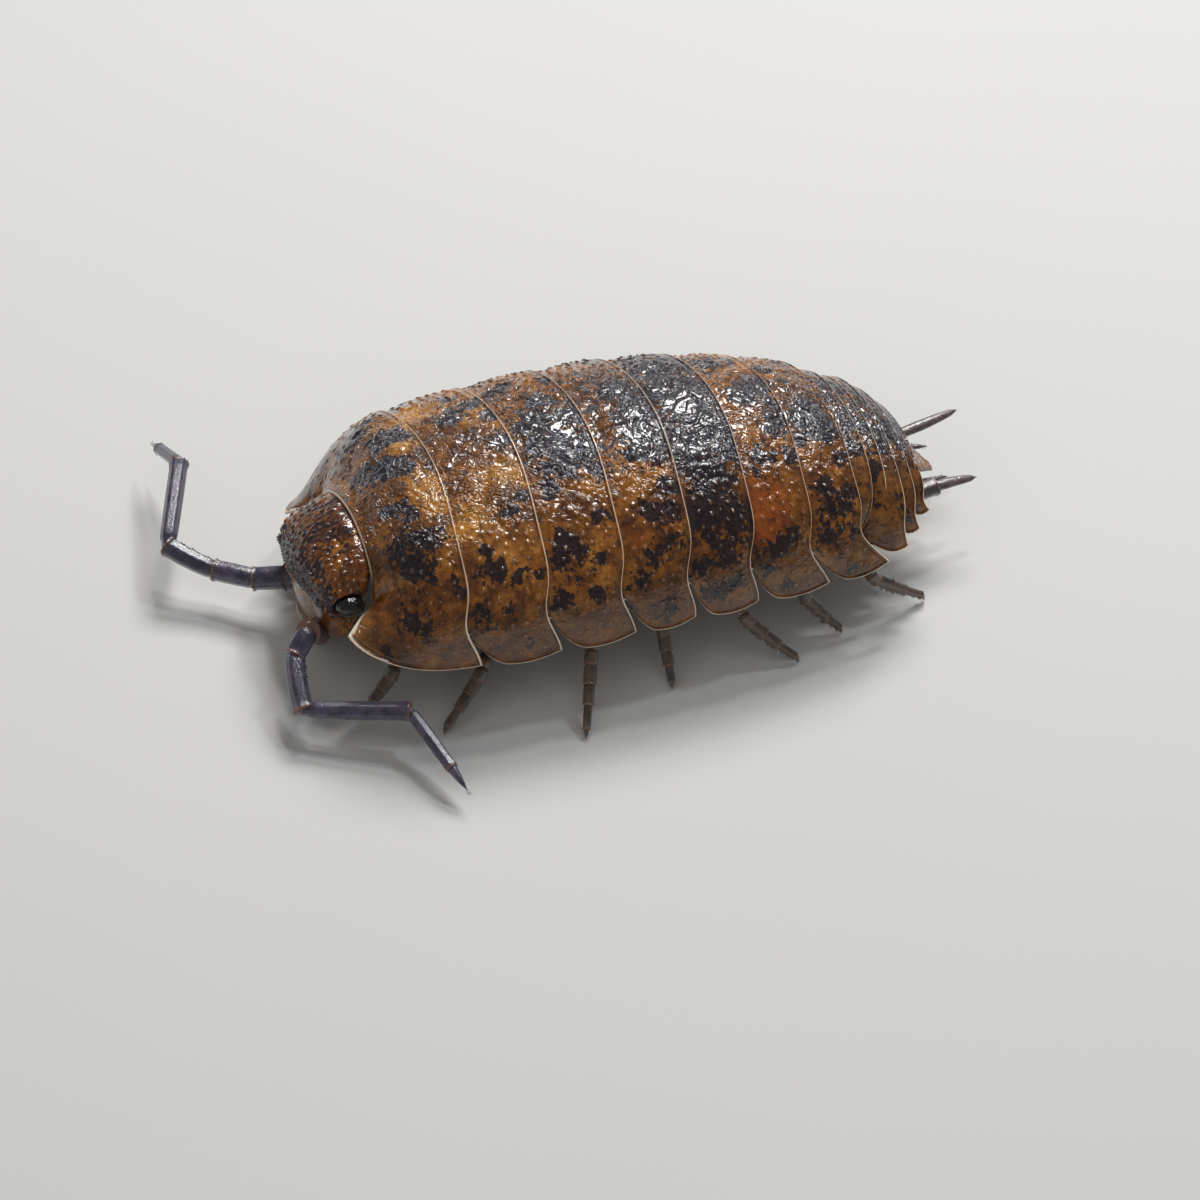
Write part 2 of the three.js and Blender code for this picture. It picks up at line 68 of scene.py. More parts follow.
#       knee, foot, how far the right leg is set back
LEGS = [((2.95, -6.85, 1.15), (3.20, -7.70), .25), ((3.75, -5.00, 1.25), (4.30, -6.05), -.35), ((4.10, -2.50, 1.40), (5.42, -3.03), .30),
        ((3.65, -0.60, 1.35), (4.40, -0.55), -.25), ((3.85, 1.30, 1.35), (4.34, 2.59), .20), ((3.35, 2.95, 1.30), (3.60, 3.95), -.20),
        ((3.05, 4.75, 1.25), (2.95, 6.30), .25)]

# Dark markings: plate, across (0 ridge .. 1 left edge), along (0 front .. 1 rear), radius mm
BLOTCHES = [
    (1, 0.38, 0.52, 0.38), (1, 0.42, 0.3, 0.35), (1, 0.51, 0.47, 0.35), (1, 0.4, 0.68, 0.3), (1, 0.74, 0.43, 0.38), (1, 0.78, 0.58, 0.23),
    (1, 0.19, 0.42, 0.21), (1, 0.16, 0.28, 0.14), (1, 0.23, 0.53, 0.16), (1, -0.08, 0.28, 0.28), (1, -0.02, 0.45, 0.28), (1, 0.0, 0.62, 0.23),
    (1, -0.2, 0.58, 0.26), (1, -0.18, 0.78, 0.21), (1, 0.59, 0.58, 0.16), (1, 0.61, 0.87, 0.19), (1, 0.94, 0.23, 0.14),
    (2, 0.53, 0.28, 0.23), (2, 0.47, 0.3, 0.19), (2, 0.58, 0.33, 0.21), (2, 0.61, 0.57, 0.26), (2, 0.61, 0.9, 0.19), (2, 0.75, 0.15, 0.28),
    (2, 0.74, 0.53, 0.19), (2, 0.34, 0.7, 0.23), (2, 0.29, 0.92, 0.21), (2, -0.19, 0.5, 0.28), (2, -0.23, 0.77, 0.23), (2, -0.13, 0.88, 0.21),
    (2, 0.02, 0.87, 0.21), (2, 0.91, 0.63, 0.16), (2, 0.58, 0.12, 0.14),
    (3, 0.53, 0.27, 0.33), (3, 0.58, 0.15, 0.26), (3, 0.59, 0.35, 0.23), (3, 0.67, 0.47, 0.21), (3, 0.77, 0.17, 0.23), (3, 0.76, 0.63, 0.19),
    (3, 0.46, 0.8, 0.21), (3, 0.09, 0.38, 0.35), (3, 0.19, 0.43, 0.3), (3, 0.14, 0.83, 0.35), (3, -0.02, 0.38, 0.28), (3, -0.01, 0.87, 0.28),
    (3, 0.29, 0.2, 0.23), (3, 0.62, 0.68, 0.14), (3, -0.13, 0.6, 0.21), (3, 0.26, 0.93, 0.19),
    (4, 0.4, 0.82, 0.23), (4, 0.47, 0.53, 0.28), (4, 0.5, 0.78, 0.26), (4, 0.62, 0.62, 0.33), (4, 0.66, 0.43, 0.26), (4, 0.75, 0.28, 0.21),
    (4, 0.9, 0.55, 0.23), (4, 0.02, 0.73, 0.33), (4, 0.13, 0.78, 0.38), (4, 0.23, 0.85, 0.3), (4, -0.04, 0.75, 0.28), (4, -0.09, 0.65, 0.26),
    (4, 0.21, 0.55, 0.21), (4, 0.97, 0.02, 0.14),
    (5, 0.44, 0.4, 0.47), (5, 0.54, 0.23, 0.42), (5, 0.56, 0.62, 0.4), (5, 0.63, 0.28, 0.33), (5, 0.71, 0.6, 0.28), (5, 0.76, 0.18, 0.23),
    (5, 0.87, 0.38, 0.26), (5, 0.04, 0.67, 0.45), (5, 0.15, 0.77, 0.42), (5, 0.25, 0.82, 0.35), (5, 0.23, 0.33, 0.33), (5, -0.06, 0.33, 0.3),
    (5, -0.04, 0.6, 0.28), (5, 0.34, 0.32, 0.3), (5, 0.84, 0.68, 0.19),
    (6, -0.05, 0.75, 0.28), (6, 0.01, 0.4, 0.23), (6, 0.16, 0.77, 0.28), (6, 0.1, 1.0, 0.23), (6, 0.33, 0.4, 0.23), (6, 0.33, 0.8, 0.21),
    (6, 0.74, 0.45, 0.26), (6, 0.7, 0.63, 0.21), (6, 0.8, 0.22, 0.28), (6, 0.93, 0.42, 0.19), (6, 0.38, 0.17, 0.14), (6, 0.04, 0.85, 0.19),
    (7, 0.52, 0.32, 0.28), (7, 0.62, 0.33, 0.28), (7, 0.61, 0.65, 0.26), (7, 0.54, 0.82, 0.23), (7, 0.74, 0.35, 0.26), (7, 0.75, 0.75, 0.21),
    (7, 0.94, 0.5, 0.19), (7, 0.1, 0.4, 0.28), (7, 0.16, 0.45, 0.26), (7, 0.22, 0.53, 0.21), (7, 0.37, 0.78, 0.19), (7, 0.26, 0.1, 0.14),
    (8, 0.35, 0.0, 0.16), (8, 0.16, 0.4, 0.16), (9, 0.57, 0.0, 0.16), (9, 0.19, 0.45, 0.14), (10, 0.28, 0.0, 0.14),
    (11, 1.0, 0.0, 0.19), (11, 0.17, 0.08, 0.12), (12, 1.0, 0.15, 0.16), (12, 0.27, 0.0, 0.12)]
# Paler amber (+) and redder orange (-) ground, same columns and strength
TINTS = [(1, 0.21, 0.9, 0.52, 1), (1, 0.1, 0.73, 0.33, 1), (2, 0.33, 0.18, 0.52, 1), (2, 0.16, 0.75, 0.47, 1), (3, 0.33, 0.73, 0.28, 0.6),
         (4, 0.34, 0.43, 0.38, 0.4), (4, 0.58, 0.23, 0.33, -0.6), (6, 0.52, 0.23, 0.56, -1), (6, 0.66, 0.17, 0.42, -1),
         (7, 0.97, 0.02, 0.33, 0.6), (7, 0.87, 0.78, 0.28, 0.6)]
# How dark the ridge is, plate by plate, and how dark the whole plate is
RIDGE_DARK = [0.24, 0.20, 0.36, 0.46, 0.50, 0.34, 0.40, 0.34, 0.34, 0.34, 0.34, 0.34]
PLATE_DARK = [0.02, 0.0, 0.03, 0.05, 0.22, 0.02, 0.10, 0.34, 0.36, 0.38, 0.38, 0.38]


# --------------------------------------------------------------- body surfaces
def smooth(a, b, v):
    w = np.clip((np.asarray(v, float) - a) / (b - a), 0, 1)
    return w * w * (3 - 2 * w)


def margin_y(q, sweep, deep):
    return (sweep * q ** 6 - 0.139 * deep * np.sin(math.pi * np.clip(q / 0.92, 0, 1)) ** 2
            - 0.28 * deep * np.exp(-(((q - 0.80) / 0.13) ** 2)))


def margin(r, t, inset=0.0, deep=1.0):
    """Rear margin of plate r at t = -1 .. 1 (right edge .. ridge .. left edge)."""
    y, top, half, edge, sweep, _ = r
    t = np.asarray(t, float)
    s, q = np.sign(t), np.abs(t)
    f = q * math.pi / 2
    return np.stack([s * (half - inset) * np.sin(f) ** ARCH, y + margin_y(q, sweep, deep) + 0 * q,
                     edge + (top - inset - edge) * np.cos(f).clip(0, 1) ** ARCH], -1)


def collar(t):
    """Front margin of the first plate: a saddle round the head, then a lobe beside the eye."""
    t = np.asarray(t, float)
    s, q = np.sign(t), np.abs(t)
    k = np.clip(q / CUT, 0, 1)
    f = k * math.pi / 2
    a = np.stack([s * SADDLE * np.sin(f), HEAD['rearY'] + GAP + 0 * q,
                  SADDLE_Z + (HEAD['rearZ'] + STEP - SADDLE_Z) * np.cos(f)], -1)
    w = np.clip((q - CUT) / (1 - CUT), 0, 1)
    y0 = HEAD['rearY'] + GAP
    tip = [np.where(s > 0, a_, b_) for a_, b_ in zip(LOBE_TIP, FAR_TIP)]
    b = np.stack([s * (SADDLE + (tip[0] - SADDLE) * w), y0 + (tip[1] - y0) * w ** 1.05,
                  SADDLE_Z + (tip[2] - SADDLE_Z) * w + 0.08 * np.sin(math.pi * w)], -1)
    return np.where((q <= CUT)[..., None], a, b)


def pose(P):
    P = np.asarray(P, float)
    x, y, z = P[..., 0], P[..., 1], P[..., 2]
    return np.stack([x + BEND * y * y, y, z + TWIST * x * smooth(5.2, 8.2, -y)], -1)


def stand(P):
    """Trunk axes -> the standing frame, mm, before the origin is set under the middle."""
    P = np.asarray(P, float)
    x, y, z = P[..., 0], P[..., 1], P[..., 2]
    return np.stack([x, y * math.cos(PITCH) + z * math.sin(PITCH), -y * math.sin(PITCH) + z * math.cos(PITCH) + LIFT], -1)


def placed(P):
    """Standing frame in mm -> metres, about the origin."""
    return (np.asarray(P, float) + np.array([SHIFT[0], SHIFT[1], 0.0])) * MM


def plate_ends(i):
    """Front and rear margins and the bulge of plate i (0 .. 6 trunk, 7 .. 11 tail)."""
    r = PLATES[i]
    if i == 0:
        return collar, (lambda t: margin(r, t)), dict(puff=0.40, rnd=0.2, flank=0.46, corner=0.0, start=1.0, early=0.62, cheek=0.25)
    prev = PLATES[i - 1]
    if i < 7:
        return ((lambda t: margin(prev, t, STEP) + np.array([0, GAP, 0])), (lambda t: margin(r, t)),
                dict(puff=0.06, rnd=0.55, flank=0.13, corner=0.30, start=0.84))
    half = r[2] - 0.08 if r[5] else min(r[2] + 0.10, prev[2] - 0.2)
    own = (prev[0] + GAP, prev[1] - STEP, half, r[3] + (0.02 if r[5] else 0.05), (-0.50 if i == 9 else -0.25) if r[5] else -0.2, 0)
    deep = 0.35 if r[5] else 0.0
    return ((lambda t: margin(own, t, 0, 0)), (lambda t: margin(r, t, 0, deep)),
            dict(puff=0.02, rnd=0.55, flank=0.06 if r[5] else 0.0, corner=0.28 if i > 9 else 0.0, start=0.92 if i > 9 else 1.0))


def plate_point(i, u, v):
    """Outer surface of plate i: u = -1 .. 1 across, v = 0 front .. 1 rear margin."""
    front, rear, o = plate_ends(i)
    u, v = np.broadcast_arrays(np.asarray(u, float), np.asarray(v, float))
    if o['corner'] > 0:
        t = u * (o['start'] + (1 - o['start']) * np.sqrt(1 - (1 - np.clip(v / o['corner'], 0, 1)) ** 2))
    else:
        t = u * 1.0
    A, B = front(t), rear(t)
    q, s = np.abs(t), np.sign(t)
    w = np.clip(v, 0, 1)
    puff = o['puff'] * np.sin(math.pi * w) * (1 - q ** 4)
    fl = o['flank'] * np.sin(math.pi * w ** o.get('early', 1.0)) * smooth(0.45, 1, q)
    P = A + (B - A) * w[..., None]
    P[..., 0] += s * (puff * q + fl)
    P[..., 2] += puff * (1 - o['rnd'] * q) - 0.7 * fl + o.get('cheek', 0.0) * np.sin(math.pi * w ** 0.6) * np.exp(-((q - 0.55) / 0.2) ** 2)
    return P, t


# ------------------------------------------------------------- mesh gathering
NAMES = ('dark', 'tint', 'rim', 'lobe', 'ridge', 'granule_glint')


class Piece:
    """Closed bodies gathered into one mesh, with named values on the vertices."""

    def __init__(self):
        self.verts, self.faces, self.values, self.count = [], [], {n: [] for n in NAMES}, 0

    def add(self, V, faces, **values):
        V = np.asarray(V, float).reshape(-1, 3)
        faces = [np.asarray(f, int).reshape(len(f), -1) for f in faces if len(f)]
        vol = 0.0
        for f in faces:
            a = V[f[:, 0]]
            for k in range(1, f.shape[1] - 1):
                vol += np.einsum('ij,ij->i', a, np.cross(V[f[:, k]], V[f[:, k + 1]])).sum()
        for f in faces:
            self.faces.append((f if vol > 0 else f[:, ::-1]) + self.count)
        self.verts.append(V)
        for n in NAMES:
            x = values.get(n, 0.0)
            self.values[n].append(np.broadcast_to(np.asarray(x, float).reshape(-1) if np.ndim(x) else x, (len(V),)))
        self.count += len(V)

    def build(self, name, material, nodes):
        V = np.concatenate(self.verts)
        loops = np.concatenate([f.reshape(-1) for f in self.faces])
        sizes = np.concatenate([np.full(len(f), f.shape[1]) for f in self.faces])
        me = bpy.data.meshes.new(name)
        me.vertices.add(len(V))
        me.vertices.foreach_set('co', V.astype(np.float32).reshape(-1))
        me.loops.add(len(loops))
        me.loops.foreach_set('vertex_index', loops.astype(np.int32))
        me.polygons.add(len(sizes))
        me.polygons.foreach_set('loop_start', np.concatenate([[0], np.cumsum(sizes)[:-1]]).astype(np.int32))
        me.polygons.foreach_set('use_smooth', np.ones(len(sizes), bool))
        me.update(calc_edges=True)
        for n in NAMES:
            a = np.concatenate(self.values[n])
            if a.any():
                me.attributes.new(n, 'FLOAT', 'POINT').data.foreach_set('value', a.astype(np.float32))
        me.materials.append(material)
        ob = bpy.data.objects.new(name, me)
        bpy.context.scene.collection.objects.link(ob)
        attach(ob, 'root')
        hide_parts(*nodes)
        return ob


def grid_faces(nu, nv, wrap=False):
    """Quads of a grid with nu lines of nv points; wrap joins each line into a ring."""
    i, j = np.meshgrid(np.arange(nu - 1), np.arange(nv if wrap else nv - 1), indexing='ij')
    k = (j + 1) % nv
    return np.stack([i * nv + j, (i + 1) * nv + j, (i + 1) * nv + k, i * nv + k], -1).reshape(-1, 4)


def grid_normals(P, outward, wrap=False):
    du = np.gradient(P, axis=0)
    dv = (np.roll(P, -1, 1) - np.roll(P, 1, 1)) if wrap else np.gradient(P, axis=1)
    n = np.cross(du, dv)
    n /= np.linalg.norm(n, axis=-1, keepdims=True) + 1e-12
    return n * np.sign((n * outward).sum(-1).mean())


def scatter(rng, P, weight, spacing, tries=9000):
    """Points of a grid at least spacing apart, as index pairs."""
    w = weight.reshape(-1) / weight.sum()
    pick = rng.choice(w.size, size=tries, p=w)
    pts = P.reshape(-1, 3)[pick]
    keep = np.empty((tries, 3))
    out, n = [], 0
    for p, k in zip(pts, pick):
        if n == 0 or ((keep[:n] - p) ** 2).sum(1).min() > spacing ** 2:
            keep[n] = p
            n += 1
            out.append(divmod(int(k), P.shape[1]))
    return out


def granules(P, spots, size, height, wrap=False):
    """Raised domes on a grid surface: height above it, and 1 on a dome's top."""
    nu, nv = P.shape[:2]
    H, G = np.zeros((nu, nv)), np.zeros((nu, nv))
    for (i, j), r, h in zip(spots, size, height):
        a = np.linalg.norm(P[min(i + 1, nu - 1), j] - P[max(i - 1, 0), j]) / 2 + 1e-6
        b = np.linalg.norm(P[i, min(j + 1, nv - 1)] - P[i, max(j - 1, 0)]) / 2 + 1e-6
        ki, kj = min(int(r / a) + 2, 24), min(int(r / b) + 2, 24)
        i0, i1, j0, j1 = max(i - ki, 0), min(i + ki + 1, nu), max(j - kj, 0), min(j + kj + 1, nv)
        d = np.linalg.norm(P[i0:i1, j0:j1] - P[i, j], axis=-1) / r
        k = np.clip(1 - d * d, 0, 1)
        H[i0:i1, j0:j1] = np.maximum(H[i0:i1, j0:j1], h * k ** 1.35)
        G[i0:i1, j0:j1] = np.maximum(G[i0:i1, j0:j1], k)
    return H, G


def ripple(x, y, z, k, seed):
    """Soft irregular swell of the surface, -1 .. 1, wavelength about 1/k mm."""
    rng = np.random.default_rng(seed)
    s = 0
    for _ in range(7):
        d = rng.normal(size=3)
        d *= k * 2 * math.pi / np.linalg.norm(d) * rng.uniform(0.6, 1.3)
        s = s + np.sin(d[0] * x + d[1] * y + d[2] * z + rng.uniform(0, 6.28))
    return s / 3.2


# --------------------------------------------------------------- shell plates
def plate(i):
    """One plate as a thin closed shell with rolled margins and granules."""
    lobed = PLATES[i][5]
    trunk = i < 7
    nu = (420 if trunk else 260) // 1
    s = np.linspace(-1, 1, nu + 1)
    u = s + 0.34 * np.sin(math.pi * s) / math.pi
    ahead = 8
    rows = (72 if trunk else 36) // 1
    v = 1 - (1 - np.linspace(0, 1, rows + 1)) ** 1.18
    uu, vv = np.meshgrid(u, v, indexing='ij')
    P, t = plate_point(i, uu, vv)
    if not trunk and lobed:
        k = smooth(0.70, 1.0, np.abs(t))
        P[..., 1] -= 0.17 * k * vv ** 2
        P[..., 2] -= 0.12 * k * np.sin(math.pi * vv)
    if i:
        # run on forward under the plate in front
        w = np.linspace(0.34, 0.34 / ahead, ahead)
        A = P[:, 0]
        if i < 7:
            length = abs(PLATES[i - 1][0] - (PLATES[i - 2][0] if i > 1 else HEAD['rearY']))
            edge0, _ = plate_point(i - 1, t[:, 0], np.ones(nu + 1))
            ext = []
            for d in w:
                Q, _ = plate_point(i - 1, t[:, 0], np.full(nu + 1, 1 - d / length))
                Q = Q + (A - edge0) * [1, 1, 1]
                c = np.array([0, 0, PLATES[i - 1][3] + 0.8])
                inw = c - Q
                inw[:, 1] = 0
                inw /= np.linalg.norm(inw, axis=1, keepdims=True)
                ext.append(Q + inw * 0.05 * d / 0.34)
        else:
            under = smooth(0.5, 0.8, np.abs(t[:, 0]))[:, None]
            ext = [A + np.array([0, -d, -0.05 * d]) * (1 + 0.5 * under) - np.stack([np.sign(t[:, 0]) * 0.05, 0 * t[:, 0], 0 * t[:, 0]], -1) * under * d / 0.34 for d in w]
        P = np.concatenate([np.stack(ext, 1), P], 1)
        t = np.concatenate([np.repeat(t[:, :1], ahead, 1), t], 1)
        vv = np.concatenate([np.zeros((nu + 1, ahead)), vv], 1)
    nv = P.shape[1]
    out = P - np.array([0, 0, PLATES[i][3] - 1.0])
    out[..., 1] = 0
    N = grid_normals(P, out)
    along = np.linalg.norm(np.diff(P, axis=1), axis=-1)
    rear = np.concatenate([np.cumsum(along[:, ::-1], 1)[:, ::-1], np.zeros((nu + 1, 1))], 1)
    lead = np.concatenate([np.zeros((nu + 1, 1)), np.cumsum(along, 1)], 1)
    across = np.linalg.norm(np.diff(P, axis=0), axis=-1)
    cum = np.concatenate([np.zeros((1, nv)), np.cumsum(across, 0)], 0)
    side = np.minimum(cum, cum[-1] - cum)
    bare = lead if i == 0 else np.full_like(lead, 9.0)
    edge = np.minimum(np.minimum(rear, side), bare)
    q = np.abs(t)
    lobe = smooth(0.66, 0.86, q) if lobed else 0 * q
    # rolled margins: a bead, a groove, a second low ridge, all rounded off
    big = 1 + 0.7 * lobe
    swell = (0.020 * big * np.exp(-((edge - 0.045) / 0.028) ** 2) - 0.014 * np.exp(-((edge - 0.105) / 0.03) ** 2)
             + 0.012 * np.exp(-((edge - 0.165) / 0.03) ** 2))
    R = 0.042
    k = np.clip((R - edge) / R, 0, 1)
    swell -= R * (1 - np.sqrt(1 - k * k))
    swell += 0.006 * lobe * np.sin(2 * math.pi * np.minimum(cum, rear + 3) / 0.10) * np.exp(-((edge - 0.045) / 0.03) ** 2)
    X, Y, Z = P[..., 0], P[..., 1], P[..., 2]
    inside = smooth(0.12, 0.4, edge) * smooth(0.0, 0.10, vv if i else lead)
    swell += 0.012 * inside * ripple(X, Y, Z, 0.9, 40 + i) + 0.005 * inside * ripple(X, Y, Z, 2.6, 60 + i)
    wx, wy = 0.10 * ripple(X, Y, Z, 1.5, 81), 0.10 * ripple(X, Y, Z, 1.5, 82)
    worm = smooth(0.02, 0.50, np.abs(ripple(X + wx, Y + wy, Z, 1.20, 90 + i)))
    swell += 0.030 * (worm - 0.6) * inside * (0.10 + 0.90 * (1 - smooth(0.28, 0.58, q))) * (1.0 if trunk else 0.5)
    if i == 0:
        # a shallow furrow behind the head on each side, and the lobe pressed in
        swell -= 0.03 * np.exp(-((lead - 0.35) / 0.16) ** 2) * smooth(0.75, 0.3, q)
    # granules: fuller on the flanks, faint on the side lobes, a row by the rear
    rng = np.random.default_rng(100 + i)
    cell = np.linalg.norm(np.cross(np.gradient(P, axis=0), np.gradient(P, axis=1)), axis=-1)
    zone = cell * smooth(0.20, 0.30, edge) * (0 if not trunk else 1) * smooth(0.08, 0.16, vv if i else lead / 2)
    if trunk:
        spots = scatter(rng, P, zone + 1e-12, 0.21, 5200)
        spots = [(a, b) for a, b in spots if zone[a, b] > 0.2 * cell[a, b]]
        qq = np.array([q[a, b] for a, b in spots])
        strong = np.where(qq < 0.72, 1.0, 0.45) * (1.15 if i in (1, 2, 3) else 0.9) * (0.75 + 0.35 * np.exp(-((qq - 0.46) / 0.2) ** 2)) * (0.45 + 0.55 * smooth(0.10, 0.38, qq))
        size = rng.uniform(0.050, 0.086, len(spots)) * (0.85 + 0.15 * strong)
        high = rng.uniform(0.020, 0.040, len(spots)) * strong
    else:
        spots, size, high = [], np.zeros(0), np.zeros(0)
    # the row along the rear margin
    j_row = [int(np.abs(rear[a] - 0.235).argmin()) for a in range(nu + 1)]
    mid = cum[:, nv // 2]
    at = np.arange(0.3, mid[-1] - 0.3, 0.24 if trunk else 0.19) + rng.uniform(-0.05, 0.05, len(np.arange(0.3, mid[-1] - 0.3, 0.24 if trunk else 0.19)))
    ia = np.clip(np.searchsorted(mid, at), 0, nu)
    spots = list(spots) + [(int(a), j_row[int(a)]) for a in ia]
    size = np.concatenate([size, rng.uniform(0.045, 0.06, len(ia)) * (1 if trunk else 0.7)])
    high = np.concatenate([high, rng.uniform(0.012, 0.024, len(ia)) * (1 if trunk else 0.5)])
    H, G = granules(P, spots, size, high)
    outer = P + N * (swell + H)[..., None]
    # markings
    dark, tint = np.zeros_like(q), np.zeros_like(q)
    rng2 = np.random.default_rng(300 + i)
    marks = [m for m in BLOTCHES if m[0] == i + 1]
    marks = marks + [(m[0], -m[1] + rng2.normal() * 0.03, float(np.clip(m[2] + rng2.normal() * 0.08, 0, 1)), m[3]) for m in marks if m[1] > 0.24]
    for m in marks:
        C, _ = plate_point(i, np.array(m[1]), np.array(m[2]))
        W = P + 0.45 * m[3] * np.stack([ripple(X, Y, Z, 1.1, 71), ripple(X, Y, Z, 1.1, 72), 0 * X], -1)
        d = np.linalg.norm(W - C, axis=-1) / m[3]
        dark = np.maximum(dark, np.clip(1.02 - 0.50 * d, 0, 1))
    for m in TINTS:
        if m[0] == i + 1:
            for sg in (1, -1):
                C, _ = plate_point(i, np.array(sg * m[1]), np.array(m[2]))
                tint += m[4] * np.exp(-(np.linalg.norm(P - C, axis=-1) / m[3]) ** 2)
    ridge = 1 - smooth(0.16, 0.48, q)
    dark = dark + RIDGE_DARK[i] * ridge + PLATE_DARK[i] * (1 - 0.6 * lobe)
    fine = 1.0
    # margin line: real pale horn brightened as painted highlight, plus a painted gloss line along the second low ridge
    line = (1 - smooth(0.034 + 0.004 * lobe, 0.062 + 0.006 * lobe, edge)) * (0.35 + 0.65 * smooth(0.0, 0.022, edge)) * fine + 0.34 * np.exp(-((edge - 0.165) / 0.03) ** 2)
    if not trunk:
        lobe = np.maximum(lobe, 0.62)
    if i == 0:
        line = np.maximum(line, 1 - smooth(0.070, 0.110, lead))
    # inner surface and the rounded-off sides
    step = 4
    cols = np.arange(0, nv, step)
    if cols[-1] != nv - 1:
        cols = np.append(cols, nv - 1)
    thick = 0.082 + 0.03 * lobe * smooth(0.0, 0.3, edge)
    inner = (P - N * thick[..., None])[:, cols]
    ni = len(cols)
    V = np.concatenate([outer.reshape(-1, 3), inner.reshape(-1, 3)])
    o = (nu + 1) * nv
    a, b = np.arange(nu), np.arange(1, nu + 1)
    faces = [grid_faces(nu + 1, nv), grid_faces(nu + 1, ni)[:, ::-1] + o,
             np.stack([a * nv, o + a * ni, o + b * ni, b * nv], -1),
             np.stack([a * nv + nv - 1, b * nv + nv - 1, o + b * ni + ni - 1, o + a * ni + ni - 1], -1)]
    for g, flip in ((0, False), (nu, True)):
        for m in range(ni - 1):
            ring = [g * nv + c for c in range(cols[m], cols[m + 1] + 1)] + [o + g * ni + m + 1, o + g * ni + m]
            faces.append(np.array([ring[::-1] if not flip else ring]))
    pad = lambda x: np.concatenate([x.reshape(-1), x[:, cols].reshape(-1)])
    pc = Piece()
    pc.add(placed(stand(pose(V))), faces, dark=pad(dark), tint=pad(tint), rim=np.concatenate([line.reshape(-1), 0.3 * line[:, cols].reshape(-1)]), lobe=pad(lobe), ridge=pad(ridge),
           granule_glint=np.concatenate([G.reshape(-1), np.zeros(ni * (nu + 1))]))
    name = ('pereonite_%d' % (i + 1)) if trunk else ('pleonite_%d' % (i - 6))
    return pc.build('shell_' + name, M_SHELL, [name])


def telson():
    nu, nv = 120, 60
    u, v = np.linspace(-1, 1, nu + 1), np.linspace(0, 1, nv + 1)
    uu, vv = np.meshgrid(u, v, indexing='ij')

    def surface(uu, vv):
        half = TELSON['half'] + (TELSON['tipHalf'] - TELSON['half']) * vv ** 0.85
        half = half * np.sqrt(np.clip(1 - np.clip((vv - 0.93) / 0.07, 0, 1) ** 2 * 0.92, 0, 1))
        top = TELSON['baseZ'] + (TELSON['tipZ'] - TELSON['baseZ']) * vv ** 0.9
        rise = 0.42 * (1 - vv) + 0.08
        f = uu * math.pi / 2
        return np.stack([half * np.sin(f), TELSON['baseY'] - 0.25 + (TELSON['tipY'] - TELSON['baseY'] + 0.25) * vv, top - rise * (1 - np.cos(f))], -1)
    P = surface(uu, vv)
    N = grid_normals(P, np.array([0, 0, 1.0]))
    side = np.concatenate([np.zeros((1, nv + 1)), np.cumsum(np.linalg.norm(np.diff(P, axis=0), axis=-1), 0)], 0)
    edge = np.minimum(side, side[-1] - side)
    edge = np.minimum(edge, (1 - vv) * 0.9)
    k = np.clip((0.05 - edge) / 0.05, 0, 1)
    swell = 0.014 * np.exp(-((edge - 0.05) / 0.03) ** 2) - 0.05 * (1 - np.sqrt(1 - k * k)) - 0.05 * np.exp(-(uu / 0.22) ** 2) * smooth(0.35, 0.9, vv) * smooth(0.02, 0.15, edge)
    rng = np.random.default_rng(9)
    cell = np.linalg.norm(np.cross(np.gradient(P, axis=0), np.gradient(P, axis=1)), axis=-1) * smooth(0.1, 0.2, edge)
    spots = scatter(rng, P, cell + 1e-12, 0.17, 600)
    H, G = granules(P, spots, rng.uniform(0.03, 0.05, len(spots)), rng.uniform(0.008, 0.016, len(spots)))
    outer = P + N * (swell + H)[..., None]
    inner = P - N * 0.16
    V = np.concatenate([outer.reshape(-1, 3), inner.reshape(-1, 3)])
    n, o = nv + 1, (nu + 1) * (nv + 1)
    a, b = np.arange(nu), np.arange(1, nu + 1)
    c, d = np.arange(nv), np.arange(1, nv + 1)
    faces = [grid_faces(nu + 1, n), grid_faces(nu + 1, n)[:, ::-1] + o,
             np.stack([a * n, o + a * n, o + b * n, b * n], -1), np.stack([a * n + nv, b * n + nv, o + b * n + nv, o + a * n + nv], -1),
             np.stack([c, d, o + d, o + c], -1), np.stack([nu * n + c, o + nu * n + c, o + nu * n + d, nu * n + d], -1)]
    two = lambda x: np.tile(x.reshape(-1), 2)
    pc = Piece()
    pc.add(placed(stand(pose(V))), faces, dark=two(0.42 - 0.2 * vv + 0 * uu), rim=two(np.exp(-(edge / 0.05) ** 2)), ridge=two(0.5 + 0 * uu),
           lobe=two(0.35 + 0 * uu), granule_glint=two(G))
    return pc.build('shell_telson', M_SHELL, ['telson'])


# ------------------------------------------------------------------------ head
def head_front(q):
    return HEAD['frontY'] + 0.38 * q * q - 0.05 * np.exp(-(q / 0.30) ** 2) - 0.10 * np.exp(-(((q - 0.80) / 0.14) ** 2))


